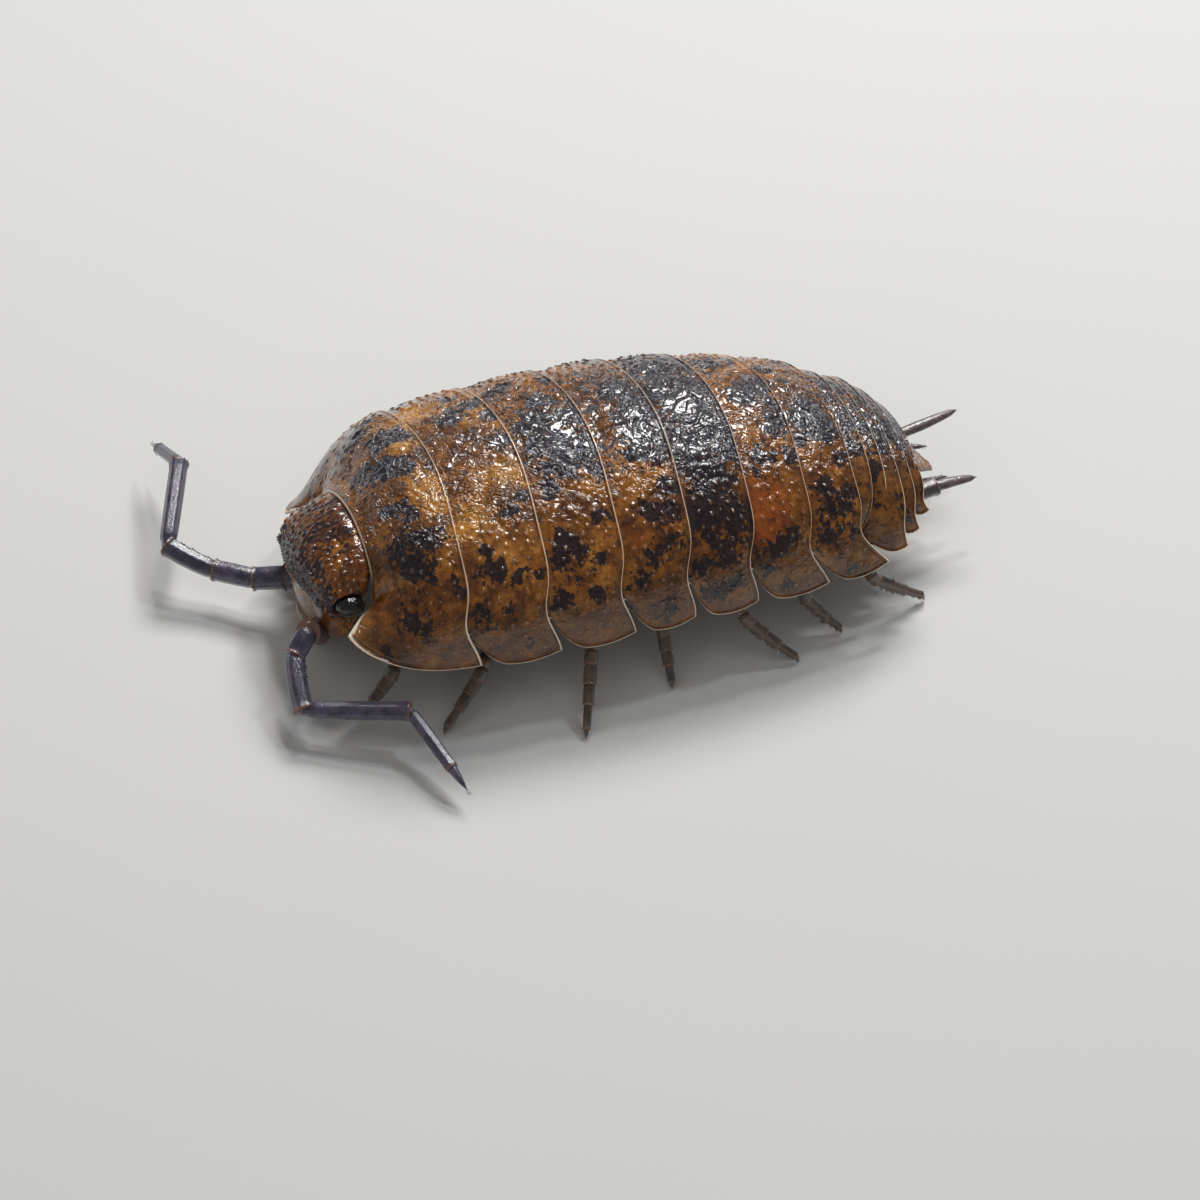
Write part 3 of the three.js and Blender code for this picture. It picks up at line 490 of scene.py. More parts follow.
def head_profiles(q, m):
    """Closed profiles from nape over the crown and the frontal ridge to the chin, m points a span."""
    half = HEAD['half']
    x = q * half
    aq = np.abs(q)
    nape = np.arcsin(np.clip(np.abs(x) / SADDLE, 0, 1)) / (math.pi / 2)
    yr = HEAD['rearY'] + 0 * aq
    zr = 1.34 + (HEAD['rearZ'] - 1.34) * np.cos(nape * math.pi / 2)
    yf, zf, chin = head_front(aq), HEAD['frontZ'] - 0.12 * aq ** 2, HEAD['chinZ'] + 0.25 * aq ** 2
    L = lambda a, b, w: a + (b - a) * w
    pts = [(yr, chin + 0.20), (yr, 0.75 + 0 * yr), (yr, zr),
           (L(yr, yf, 0.30) - 0.02, L(zr, zf, 0.30) + 0.22), (L(yr, yf, 0.62) - 0.10, L(zr, zf, 0.62) + 0.31), (L(yr, yf, 0.88) - 0.09, L(zr, zf, 0.88) + 0.22),
           (yf - 0.02, zf), (yf + 0.10, zf - 0.20), (yf + 0.16, zf - 0.60), (yf + 0.42, chin + 0.06), (yf + 0.80, chin)]
    Q = np.stack([np.stack([a, b], -1) for a, b in pts], 1)          # stations, 11, 2
    f = (1 - aq ** 7) ** (1 / 3.2)
    Q = np.array([-7.80, 0.85]) + (Q - np.array([-7.80, 0.85])) * f[:, None, None]
    p0, p1, p2, p3 = np.roll(Q, 1, 1), Q, np.roll(Q, -1, 1), np.roll(Q, -2, 1)
    t0, t1 = 0.35 * (p2 - p0), 0.35 * (p3 - p1)
    w = (np.arange(m) / m)[None, None, :, None]
    e = lambda a: a[:, :, None, :]
    C = e(p1) + e(t0) * w + (-3 * e(p1) + 3 * e(p2) - 2 * e(t0) - e(t1)) * w ** 2 + (2 * e(p1) - 2 * e(p2) + e(t0) + e(t1)) * w ** 3
    C = C.reshape(len(q), -1, 2)
    span = np.tile((np.arange(11)[:, None] + (np.arange(m) / m)[None]).reshape(1, -1), (len(q), 1))
    return np.concatenate([np.repeat(x[:, None, None], C.shape[1], 1), C], -1), span


def eye_frame(side):
    return np.array([side * EYE[0], EYE[1], EYE[2]]), np.array(EYE[3:])


def head():
    s = np.linspace(-1, 1, 241)
    q = np.sin(s * math.pi / 2) * 0.9995
    P, span = head_profiles(q, 22)
    nu, nv = P.shape[:2]
    N = grid_normals(P, P - np.array([0, -7.85, 0.8]), wrap=True)
    qq = np.repeat(np.abs(q)[:, None], nv, 1)
    X, Y, Z = P[..., 0], P[..., 1], P[..., 2]
    crown = smooth(1.7, 2.2, span) * (1 - smooth(5.6, 6.0, span))
    cum = np.concatenate([[0], np.cumsum(np.linalg.norm(np.diff(P[:, 6 * 22], axis=0), axis=-1))])
    # the frontal line: a beaded ridge from cheek to cheek
    fd = (span - 6.0) * 0.30
    beads = 0.5 + 0.5 * np.cos(2 * math.pi * cum / 0.135)[:, None]
    swell = (0.030 + 0.034 * beads) * np.exp(-(fd / 0.055) ** 2) * (1 - smooth(0.93, 0.99, qq)) - 0.022 * np.exp(-((span - 5.45) / 0.22) ** 2) * (1 - smooth(0.8, 0.95, qq))
    swell += 0.018 * crown * ripple(X, Y, Z, 0.8, 5) + 0.006 * crown * ripple(X, Y, Z, 2.4, 6)
    # the pits that hold the eyes, each with a low rim
    pit, rimming = np.zeros_like(X), np.zeros_like(X)
    for side in (1, -1):
        c, r = eye_frame(side)
        d = np.linalg.norm((P - c) / (r + 0.03), axis=-1)
        pit = np.maximum(pit, 1 - smooth(0.90, 1.06, d))
        rimming = np.maximum(rimming, np.exp(-((d - 1.15) / 0.10) ** 2))
    swell += 0.022 * rimming - 0.16 * pit
    nape_run = smooth(0.9, 1.9, span) * (1 - smooth(2.1, 2.6, span)) * (1 - smooth(0.85, 0.97, qq))
    rng = np.random.default_rng(55)
    cell = np.linalg.norm(np.cross(np.gradient(P, axis=0), np.gradient(P, axis=1)), axis=-1)
    zone = cell * crown * (1 - smooth(0.1, 0.6, pit + rimming)) * (1 - smooth(0.94, 0.99, qq)) * (np.abs(fd) > 0.09)
    spots = scatter(rng, P, zone + 1e-12, 0.15, 5200)
    spots = [(a, b) for a, b in spots if zone[a, b] > 0.3 * cell[a, b]]
    fw = np.array([smooth(2, 5.5, span[a, b]) for a, b in spots])
    H, G = granules(P, spots, rng.uniform(0.048, 0.078, len(spots)), rng.uniform(0.026, 0.046, len(spots)) * (0.75 + 0.4 * fw))
    low = scatter(rng, P, cell * (1 - crown) * (span > 6.4) * (span < 9.6) * (qq < 0.93) + 1e-12, 0.20, 1200)
    H2, G2 = granules(P, low, rng.uniform(0.03, 0.05, len(low)), rng.uniform(0.006, 0.014, len(low)))
    V = P + N * (swell + H + H2 * (span > 6.3) * (span < 10))[..., None]
    V = V + nape_run[..., None] * np.array([0, 0.16, -0.02])
    # markings: dark brow and ridge side, rust cheek and crown by the eye
    xs = np.repeat((q * HEAD['half'])[:, None], nv, 1)
    brow = smooth(4.2, 5.4, span) * (1 - smooth(6.6, 7.4, span))
    mid = np.exp(-((xs + 0.1) / 0.75) ** 2) * smooth(1.8, 2.4, span) * (1 - smooth(4.6, 5.2, span))
    dark = 0.44 + 0.55 * brow * (0.75 + 0.25 * np.cos(xs * 1.3)) + 0.30 * mid - 0.25 * np.exp(-((xs - 1.1) / 0.45) ** 2 - ((span - 3.2) / 0.9) ** 2)
    for x0, s0, rx, rs, k in ((1.25, 3.0, 0.20, 0.25, .45), (0.95, 4.4, 0.22, 0.35, .35), (0.55, 2.6, 0.20, 0.2, .3), (-1.1, 3.2, 0.3, 0.4, .4), (1.6, 4.9, .2, .5, .3)):
        dark = dark + k * np.exp(-((xs - x0) / rx) ** 2 - ((span - s0) / rs) ** 2)
    dark = dark - 0.12 * smooth(6.8, 7.6, span)
    # pale frontal line, brightest on each bead top: paler horn with painted highlight on the beads
    rim = 0.55 * np.exp(-(fd / 0.05) ** 2) * (1 - smooth(0.93, 0.99, qq)) * beads
    ends = np.stack([V[0].mean(0), V[-1].mean(0)])
    allV = np.concatenate([V.reshape(-1, 3), ends])
    k0, k1 = np.arange(nv), (np.arange(nv) + 1) % nv
    o = nu * nv
    faces = [grid_faces(nu, nv, True), np.stack([np.full(nv, o), k0, k1], -1), np.stack([np.full(nv, o + 1), (nu - 1) * nv + k1, (nu - 1) * nv + k0], -1)]
    cap = lambda x: np.concatenate([x.reshape(-1), [0, 0]])
    pc = Piece()
    pc.add(placed(stand(pose(allV))), faces, dark=cap(dark), rim=cap(rim), ridge=cap(brow), granule_glint=cap(np.maximum(G, G2 * 0.5)), tint=cap(-0.12 * crown))
    return pc.build('head_capsule', M_HEAD, ['head'])


def eye(side, name):
    """A dome of small round lenses."""
    c, r = eye_frame(side)
    nu, nv = 121, 160
    th, ph = np.linspace(0.001, math.pi - 0.001, nu), np.arange(nv) / nv * 2 * math.pi
    T, F = np.meshgrid(th, ph, indexing='ij')
    D = np.stack([np.cos(T) * side, np.sin(T) * np.cos(F), np.sin(T) * np.sin(F)], -1)
    ax = np.array([side * 0.83, -0.08, 0.55])
    ax /= np.linalg.norm(ax)
    e1 = np.cross(ax, [0, 1, 0.0]); e1 /= np.linalg.norm(e1)
    e2 = np.cross(ax, e1)
    H = np.zeros_like(T)
    for a in range(-3, 4):
        for b in range(-3, 4):
            x, y = (a + 0.5 * (b % 2)) * 0.36, b * 0.315
            if x * x + y * y > 1.15:
                continue
            w = ax + x * e1 + y * e2
            w /= np.linalg.norm(w)
            d = np.arccos(np.clip((D * w).sum(-1), -1, 1)) / 0.175
            H = np.maximum(H, 0.012 * np.sqrt(np.clip(1 - d * d, 0, 1)))
    V = c + D * (r - 0.006) + D * H[..., None]
    V = np.concatenate([V.reshape(-1, 3), (c + np.array([side, 0, 0]) * (r[0] - 0.006))[None], (c - np.array([side, 0, 0]) * (r[0] - 0.006))[None]])
    k0, k1, o = np.arange(nv), (np.arange(nv) + 1) % nv, nu * nv
    faces = [grid_faces(nu, nv, True), np.stack([np.full(nv, o), k0, k1], -1), np.stack([np.full(nv, o + 1), (nu - 1) * nv + k1, (nu - 1) * nv + k0], -1)]
    pc = Piece()
    pc.add(placed(stand(pose(V))), faces)
    return pc.build('eye_lens_' + name, M_EYE, ['eye_' + name])


# ----------------------------------------------------------------------- limbs
def unit(a):
    a = np.asarray(a, float)
    return a / (np.linalg.norm(a) + 1e-12)


def sleeve(pc, centres, radii, ref, sides=24, squash=1.0, keel=0.0, keels=5, rim=None, **values):
    """A closed tube through centres (n, 3), pointed or rounded where a radius nears 0."""
    C = np.asarray(centres, float)
    n = len(C)
    d = np.gradient(C, axis=0)
    d /= np.linalg.norm(d, axis=1, keepdims=True) + 1e-12
    A, B = np.empty_like(C), np.empty_like(C)
    b = unit(ref)
    for i in range(n):
        a = unit(np.cross(b, d[i]))
        b = unit(np.cross(d[i], a))
        A[i], B[i] = a, b
    f = np.arange(sides) / sides * 2 * math.pi
    R = np.asarray(radii, float)[:, None] * (1 + keel * np.cos(keels * f)[None])
    V = C[:, None] + R[..., None] * (np.cos(f)[None, :, None] * A[:, None] + squash * np.sin(f)[None, :, None] * B[:, None])
    V = np.concatenate([V.reshape(-1, 3), C[:1], C[-1:]])
    k0, k1, o = np.arange(sides), (np.arange(sides) + 1) % sides, n * sides
    faces = [grid_faces(n, sides, True), np.stack([np.full(sides, o), k0, k1], -1),
             np.stack([np.full(sides, o + 1), (n - 1) * sides + k1, (n - 1) * sides + k0], -1)]
    full = lambda x: np.concatenate([np.repeat(np.broadcast_to(x, (n,)), sides), [np.ravel(x)[0], np.ravel(x)[-1]]]) if np.ndim(x) else x
    vals = {k: full(np.asarray(x)) if np.ndim(x) else x for k, x in values.items()}
    if rim is not None:
        vals['rim'] = full(np.asarray(rim))
    pc.add(placed(V), faces, **vals)
    return A, B


def article(pc, a, b, ra, rb, bow=(0, 0, 0), flare=1.16, waist=0.70, ref=(0, 0, 1), sides=24, squash=1.0, keel=0.03, keels=6, belly=0.0, **values):
    """One stiff length of a limb: a ball at its root, a full shaft, a collar at its far end."""
    a, b = np.asarray(a, float), np.asarray(b, float)
    t = np.array([-0.02, -0.015, 0.0, 0.02, 0.05, 0.09, 0.13, 0.2, 0.28, 0.36, 0.44, 0.52, 0.6, 0.68, 0.76, 0.83, 0.88, 0.92, 0.945, 0.965, 0.98, 0.992, 1.0, 0.998, 0.985])
    k = np.array([0.12, 0.45, waist * 0.9, waist, waist * 1.02, 0.90, 0.98, 1.0, 1.0, 1.0, 1.0, 1.0, 1.0, 1.0, 1.0, 1.0, 1.0, 1.02, 1.06, 1.11, flare, flare, flare * 0.96, flare * 0.80, 0.40])
    length = np.linalg.norm(b - a)
    r = (ra + (rb - ra) * np.clip(t, 0, 1)) * k * (1 + belly * np.sin(math.pi * np.clip(t, 0, 1)))
    C = a + (b - a) * t[:, None] + np.asarray(bow, float) * (4 * np.clip(t, 0, 1) * (1 - np.clip(t, 0, 1)))[:, None]
    rim = np.exp(-((t - 1.0) * length / 0.07) ** 2) + 0.7 * np.exp(-((t) * length / 0.05) ** 2)
    return sleeve(pc, C, r, ref, sides, squash, keel, keels, rim=np.clip(rim, 0, 1), **values)


def spike(pc, p, d, length, r, ref=(0.3, 0.2, 0.9), bend=0.15, **values):
    """A stiff bristle with a pointed tip."""
    p, d = np.asarray(p, float), unit(d)
    w = np.array([0, 0.35, 0.7, 1.0])
    side = unit(np.cross(d, ref))
    C = p + d * (w * length)[:, None] + side * (bend * length * w ** 2)[:, None]
    sleeve(pc, C, np.array([1.0, 0.85, 0.5, 0.08]) * r, ref, 6, **values)


def bristles(pc, rng, a, b, ra, rb, count, length, r, lean=0.9, sector=None, **values):
    a, b = np.asarray(a, float), np.asarray(b, float)
    d = unit(b - a)
    e1 = unit(np.cross(d, (0.13, 0.21, 1)))
    e2 = np.cross(d, e1)
    for _ in range(count):
        t = rng.uniform(0.12, 0.94)
        f = rng.uniform(0, 2 * math.pi) if sector is None else rng.normal(sector[0], sector[1])
        n = e1 * math.cos(f) + e2 * math.sin(f)
        rr = ra + (rb - ra) * t
        spike(pc, a + (b - a) * t + n * rr * 0.93, n + d * lean, length * rng.uniform(0.7, 1.3), r, **values)


def antenna(J, name, seed):
    J = np.array(J, float)
    rng = np.random.default_rng(seed)
    pc = Piece()
    radii = [(0.27, 0.26), (0.235, 0.24), (0.215, 0.225), (0.195, 0.205), (0.150, 0.140), (0.105, 0.012)]
    # a short round base let into the face
    d0 = unit(J[1] - J[0])
    article(pc, J[0] - d0 * 0.22, J[0] + d0 * 0.10, 0.27, 0.28, dark=0.5)
    for i in range(5):
        a, b = J[i], J[i + 1]
        d = unit(b - a)
        ra, rb = radii[i]
        a2 = a - d * 0.05 if i else a
        bow = (0, 0, 0)
        if i == 2:
            bow = unit(np.cross(d, (0, 0, 1))) * (0.05 if name == 'left' else -0.05)
        article(pc, a2, b + d * 0.02, ra, rb, bow=bow, flare=1.12 if i < 4 else 1.05, waist=0.74 if i < 3 else 0.66, keel=0.045 if i > 1 else 0.02,
                belly=0.03, sides=40, dark=0.75, lobe=0.0)
        # low scales along the shaft
        bristles(pc, rng, a, b, ra, rb, [10, 14, 46, 60, 40][i], [0.05, 0.06, 0.062, 0.055, 0.05][i], [0.016, 0.017, 0.016, 0.014, 0.011][i], lean=2.6, rim=0.35, dark=0.6)
        # a crown of short spines at each joint
        if i < 4:
            e1 = unit(np.cross(d, (0.13, 0.21, 1)))
            e2 = np.cross(d, e1)
            for f in np.linspace(0, 2 * math.pi, 8)[:-1] + rng.uniform(0, 0.6):
                n = e1 * math.cos(f) + e2 * math.sin(f)
                spike(pc, b - d * 0.03 + n * rb * 1.03, n * 0.5 + d, rng.uniform(0.06, 0.11), 0.016, rim=0.8)
    # last length of the lash, ending in a brush of fine hairs
    a, b = J[5], J[6]
    d = unit(b - a)
    t = np.linspace(0, 1, 16)
    r = 0.115 * np.clip(1 - t ** 1.6, 0.06, 1) * np.where(t < 0.06, 0.7, 1)
    sleeve(pc, a - d * 0.03 + (b - a) * (t * 0.90)[:, None], r, (0, 0, 1), 24, keel=0.03, rim=0.5 * t, dark=0.6 - 0.2 * t)
    bristles(pc, rng, a, b, 0.09, 0.03, 26, 0.045, 0.008, lean=2.8, rim=0.3)
    for k in range(4):
        spike(pc, a + (b - a) * 0.88, d + rng.normal(size=3) * 0.06, 0.10, 0.008, rim=0.5)
    return pc.build('antenna_skin_' + name, M_ANTENNA, ['antenna_' + name])


def lerp(a, b, w):
    return a + (b - a) * w


def leg_path(n, side):
    """The leg's joints in the standing frame: hip, thigh, knee and on to the foot."""
    r = TRUNK[n]
    prev = TRUNK[n - 1] if n else (-7.0, 2.6, 3.0, 1.0)
    v = 0.55 if n else 0.60
    y0, edge, top = lerp(prev[0], r[0], v), lerp(prev[3], r[3], v), lerp(prev[1] - STEP, r[1], v)
    belly = lerp(edge, top, 0.16 if n else 0.12) - 0.07
    knee, foot, back = LEGS[n]
    dy = 0 if side > 0 else back
    bow = BEND * y0 * y0
    hx = side * lerp(prev[2], r[2], v) * 0.46 + bow
    K = np.array([side * knee[0] + bow, knee[1] + dy * 0.5, knee[2]])
    F = np.array([side * foot[0] + bow, foot[1] + dy, 0.0])
    H = stand(np.array([hx, y0, belly - TWIST * 0.9 * abs(hx) * float(smooth(5.2, 8.2, -y0))]))
    A = np.array([lerp(H[0], K[0], 0.30), lerp(H[1], K[1], 0.20), H[2] - 0.42])
    B = lerp(K, F, 0.12); B[2] = K[2] - 0.22
    C = lerp(K, F, 0.62); C[2] = 0.40 * K[2]
    D = lerp(K, F, 0.93); D[2] = 0.22
    return H, A, K, B, C, D, F


def leg(n, side):
    H, A, K, B, C, D, F = leg_path(n, side)
    rng = np.random.default_rng(500 + n * 2 + (side > 0))
    pc = Piece()
    # thigh, curved, wide at the hip
    t = np.linspace(0, 1, 22)
    q0 = (1 - t) ** 2; q1 = 2 * t * (1 - t); q2 = t ** 2
    ctrl = A + (A - (H + K) / 2) * 0.35
    P = H * q0[:, None] + ctrl * q1[:, None] + K * q2[:, None]
    r = np.interp(t, [0, 0.03, 0.10, 0.35, 0.7, 0.9, 0.97, 1.0], [0.05, 0.17, 0.215, 0.205, 0.165, 0.165, 0.18, 0.10])
    sleeve(pc, P, r, (0, 0, 1), 22, keel=0.04, keels=4, rim=np.exp(-((t - 0.97) / 0.04) ** 2), dark=0.35 * smooth(0.4, 1, t), lobe=1 - smooth(0.3, 0.9, t))
    M = lerp(B, C, 0.50)
    chain = [(K, B, 0.150, 0.155), (B, M, 0.140, 0.150), (M, C, 0.125, 0.130), (C, D, 0.098, 0.088)]
    for k, (a, b, ra, rb) in enumerate(chain):
        d = unit(b - a)
        article(pc, a - d * 0.04, b + d * 0.02, ra, rb, flare=1.12, waist=0.72, sides=20, keel=0.03, keels=5, belly=0.05, dark=0.5 + 0.06 * k)
        down = unit(np.array([0, 0, -1.0]) - d * float(np.dot([0, 0, -1.0], d)))
        e1 = unit(np.cross(d, (0.13, 0.21, 1)))
        e2 = np.cross(d, e1)
        phi = math.atan2(float(down @ e2), float(down @ e1))
        bristles(pc, rng, a, b, ra, rb, [4, 12, 14, 14][k], [0.07, 0.09, 0.10, 0.08][k], 0.0095, lean=1.1, sector=(phi, 0.45), rim=0.5)
        bristles(pc, rng, a, b, ra, rb, 7, 0.05, 0.010, lean=1.8, rim=0.4)
        for _ in range(2):
            n2 = unit(down + rng.normal(size=3) * 0.3)
            spike(pc, b - d * 0.03 + n2 * rb * 0.9, n2 * 0.8 + d, 0.11, 0.012, rim=0.4)
    # toe and claw
    d = unit(F - D)
    tip = F + np.array([0, 0, 0.012])
    t = np.linspace(0, 1, 14)
    P = D - d * 0.02 + (tip - D + d * 0.02) * t[:, None] + np.array([0, 0, 0.035]) * (4 * t * (1 - t))[:, None]
    r = np.interp(t, [0, 0.05, 0.2, 0.6, 0.72, 1.0], [0.03, 0.062, 0.068, 0.050, 0.036, 0.006])
    sleeve(pc, P, r, (0.2, 0.1, 1), 16, rim=smooth(0.6, 0.75, t), dark=0.5 + 0.4 * smooth(0.7, 1, t))
    side_name = 'left' if side > 0 else 'right'
    return pc.build('leg_skin_%s_%d' % (side_name, n + 1), M_LEG, ['leg_%s_%d' % (side_name, n + 1)])


def uropod(J, name, seed):
    J = np.array(J, float)
    rng = np.random.default_rng(seed)
    pc = Piece()
    d = unit(J[1] - J[0])
    article(pc, J[0] - d * 0.10, J[1] + d * 0.03, 0.225, 0.235, flare=1.08, squash=0.85, sides=26, keel=0.03, dark=0.55)
    t = np.linspace(0, 1, 30)
    P = np.stack([np.interp(t, [0, 0.45, 1], [J[1][k] - d[k] * 0.06, J[2][k], J[3][k]]) for k in range(3)], -1)
    r = np.interp(t, [0, 0.03, 0.10, 0.35, 0.7, 0.9, 1.0], [0.04, 0.115, 0.15, 0.160, 0.130, 0.092, 0.030])
    sleeve(pc, P, r, (0, 0, 1), 24, squash=0.72, keel=0.03, keels=4, rim=0.6 * smooth(0.85, 1, t), dark=0.62 - 0.15 * t)
    bristles(pc, rng, P[0], P[-1], 0.14, 0.05, 40, 0.05, 0.008, lean=2.6, rim=0.25, dark=0.5)
    for _ in range(3):
        spike(pc, P[-2], unit(P[-1] - P[-4]) + rng.normal(size=3) * 0.08, 0.11, 0.008, rim=0.4)
    # the inner branch, slimmer, beside the midline
    s = 1 if J[0][0] > 0 else -1
    a = np.array([J[0][0] - s * 0.40, J[0][1] + 0.10, J[0][2] - 0.04])
    b = np.array([J[0][0] - s * 0.56, J[0][1] + 1.12, J[0][2] - 0.10])
    r = np.interp(t, [0, 0.05, 0.3, 0.75, 1], [0.03, 0.09, 0.105, 0.075, 0.008])
    sleeve(pc, a + (b - a) * t[:, None], r, (0, 0, 1), 18, squash=0.75, rim=0.5 * smooth(0.85, 1, t), dark=0.4)
    bristles(pc, rng, a, b, 0.10, 0.04, 18, 0.06, 0.008, lean=1.8, rim=0.5)
    return pc.build('uropod_skin_' + name, M_UROPOD, ['uropod_' + name])


# -------------------------------------------------------------------- underside
def underside():
    """The soft belly inside the plates, the jaws and the gill covers."""
    pc = Piece()
    ys = np.linspace(-7.15, 6.35, 280)
    rows = np.array([[p[0], p[1], p[2], p[3]] for p in [(-7.5, 2.3, 1.9, 0.9)] + [(r[0], r[1], r[2], r[3]) for r in TRUNK] + [(5.3, 3.5, 2.5, 1.9), (6.5, 2.7, 1.6, 1.95)]])
    top, half, edge = (np.interp(ys, rows[:, 0], rows[:, k]) for k in (1, 2, 3))
    zb = lerp(edge, top, 0.13) - 0.03
    zt = top - 0.42
    grow = np.clip(np.minimum(ys - ys[0], ys[-1] - ys) / 0.45, 0, 1) ** 0.5 * 0.96 + 0.04
    w, h, c = half * 0.60 * grow, (zt - zb) / 2 * grow, (zt + zb) / 2
    f = np.arange(120) / 120 * 2 * math.pi
    cf, sf = np.cos(f), np.sin(f)
    P = np.stack([w[:, None] * np.sign(cf) * np.abs(cf) ** 0.8, np.repeat(ys[:, None], 120, 1), c[:, None] + h[:, None] * np.sign(sf) * np.abs(sf) ** 0.75], -1)
    ends = np.array([r[0] for r in TRUNK])
    starts = np.concatenate([[-7.0], ends[:-1]])
    lowness = smooth(0.2, 0.8, -sf)[None]
    relief = np.zeros(len(ys))
    for a, b in zip(starts, ends):
        p = (ys - a) / (b - a)
        relief += 0.075 * np.exp(-((p - 0.35) / 0.14) ** 2) + 0.035 * np.exp(-((p - 0.72) / 0.12) ** 2) - 0.05 * np.exp(-((p - 1.0) / 0.05) ** 2)
    P[..., 2] -= relief[:, None] * lowness * (1 - 0.35 * np.exp(-(cf / 0.18) ** 2))[None]
    V = np.concatenate([P.reshape(-1, 3), P[0].mean(0)[None], P[-1].mean(0)[None]])
    n, s = len(ys), 120
    k0, k1, o = np.arange(s), (np.arange(s) + 1) % s, n * s
    faces = [grid_faces(n, s, True), np.stack([np.full(s, o), k0, k1], -1), np.stack([np.full(s, o + 1), (n - 1) * s + k1, (n - 1) * s + k0], -1)]
    pc.add(placed(stand(pose(V))), faces, dark=0.0, rim=np.concatenate([np.repeat(np.clip(relief * 8, 0, 1), s) * 0.5, [0, 0]]))
    # gill covers: five pairs, each lapped over the next
    for k in range(5):
        y = 4.66 + 0.36 * k
        wd = lerp(0.72, 0.36, k / 4)
        for sgn in (1, -1):
            a = np.linspace(0.02, math.pi - 0.02, 26)
            b = np.arange(48) / 48 * 2 * math.pi
            A, B = np.meshgrid(a, b, indexing='ij')
            x = sgn * (wd * 0.98) + np.cos(B) * np.sin(A) * wd * 0.95
            yy = y + np.sin(B) * np.sin(A) * 0.40 + 0.10 * np.abs(np.cos(B)) * np.sin(A)
            z = 1.30 + 0.05 * k + np.cos(A) * 0.055 + (yy - y) * -0.10 + 0.05 * (x / 1.4) ** 2
            Q = np.stack([x, yy, z], -1)
            W = np.concatenate([Q.reshape(-1, 3), Q[0].mean(0)[None], Q[-1].mean(0)[None]])
            s2, n2 = 48, 26
            k0, k1, o = np.arange(s2), (np.arange(s2) + 1) % s2, n2 * s2
            fc = [grid_faces(n2, s2, True), np.stack([np.full(s2, o), k0, k1], -1), np.stack([np.full(s2, o + 1), (n2 - 1) * s2 + k1, (n2 - 1) * s2 + k0], -1)]
            pc.add(placed(stand(pose(W))), fc, rim=0.85 if k < 2 else 0.35, dark=0.0, lobe=0.5)
    # jaws under the chin: a blunt pair of covers with a seam between
    vs = np.linspace(0, 1, 40)
    f = np.arange(96) / 96 * 2 * math.pi
    Vv, Ff = np.meshgrid(vs, f, indexing='ij')
    r = np.sqrt(1 - 0.75 * Vv * Vv) * np.where(Vv > 0.9, np.sqrt(np.clip(1 - ((Vv - 0.9) / 0.1) ** 2 * 0.8, 0, 1)), 1)
    x, y = 0.84 * r * np.cos(Ff), -7.86 - 0.10 * Vv + 0.33 * r * np.sin(Ff)
    seam = np.exp(-(x / 0.045) ** 2) + 0.5 * np.exp(-((np.abs(x) - 0.42) / 0.04) ** 2)
    Q = np.stack([x * (1 - 0.04 * seam), lerp(y, -7.9, 0.10 * seam), HEAD['chinZ'] - 0.06 - 0.44 * Vv + 0.05 * seam * Vv], -1)
    W = np.concatenate([Q.reshape(-1, 3), Q[0].mean(0)[None], Q[-1].mean(0)[None]])
    n2, s2 = 40, 96
    k0, k1, o = np.arange(s2), (np.arange(s2) + 1) % s2, n2 * s2
    fc = [grid_faces(n2, s2, True), np.stack([np.full(s2, o), k0, k1], -1), np.stack([np.full(s2, o + 1), (n2 - 1) * s2 + k1, (n2 - 1) * s2 + k0], -1)]
    pc.add(placed(stand(pose(W))), fc, dark=0.45, rim=0.15)
    return pc.build('belly', M_UNDER, ['mouthparts', 'pleopods'])


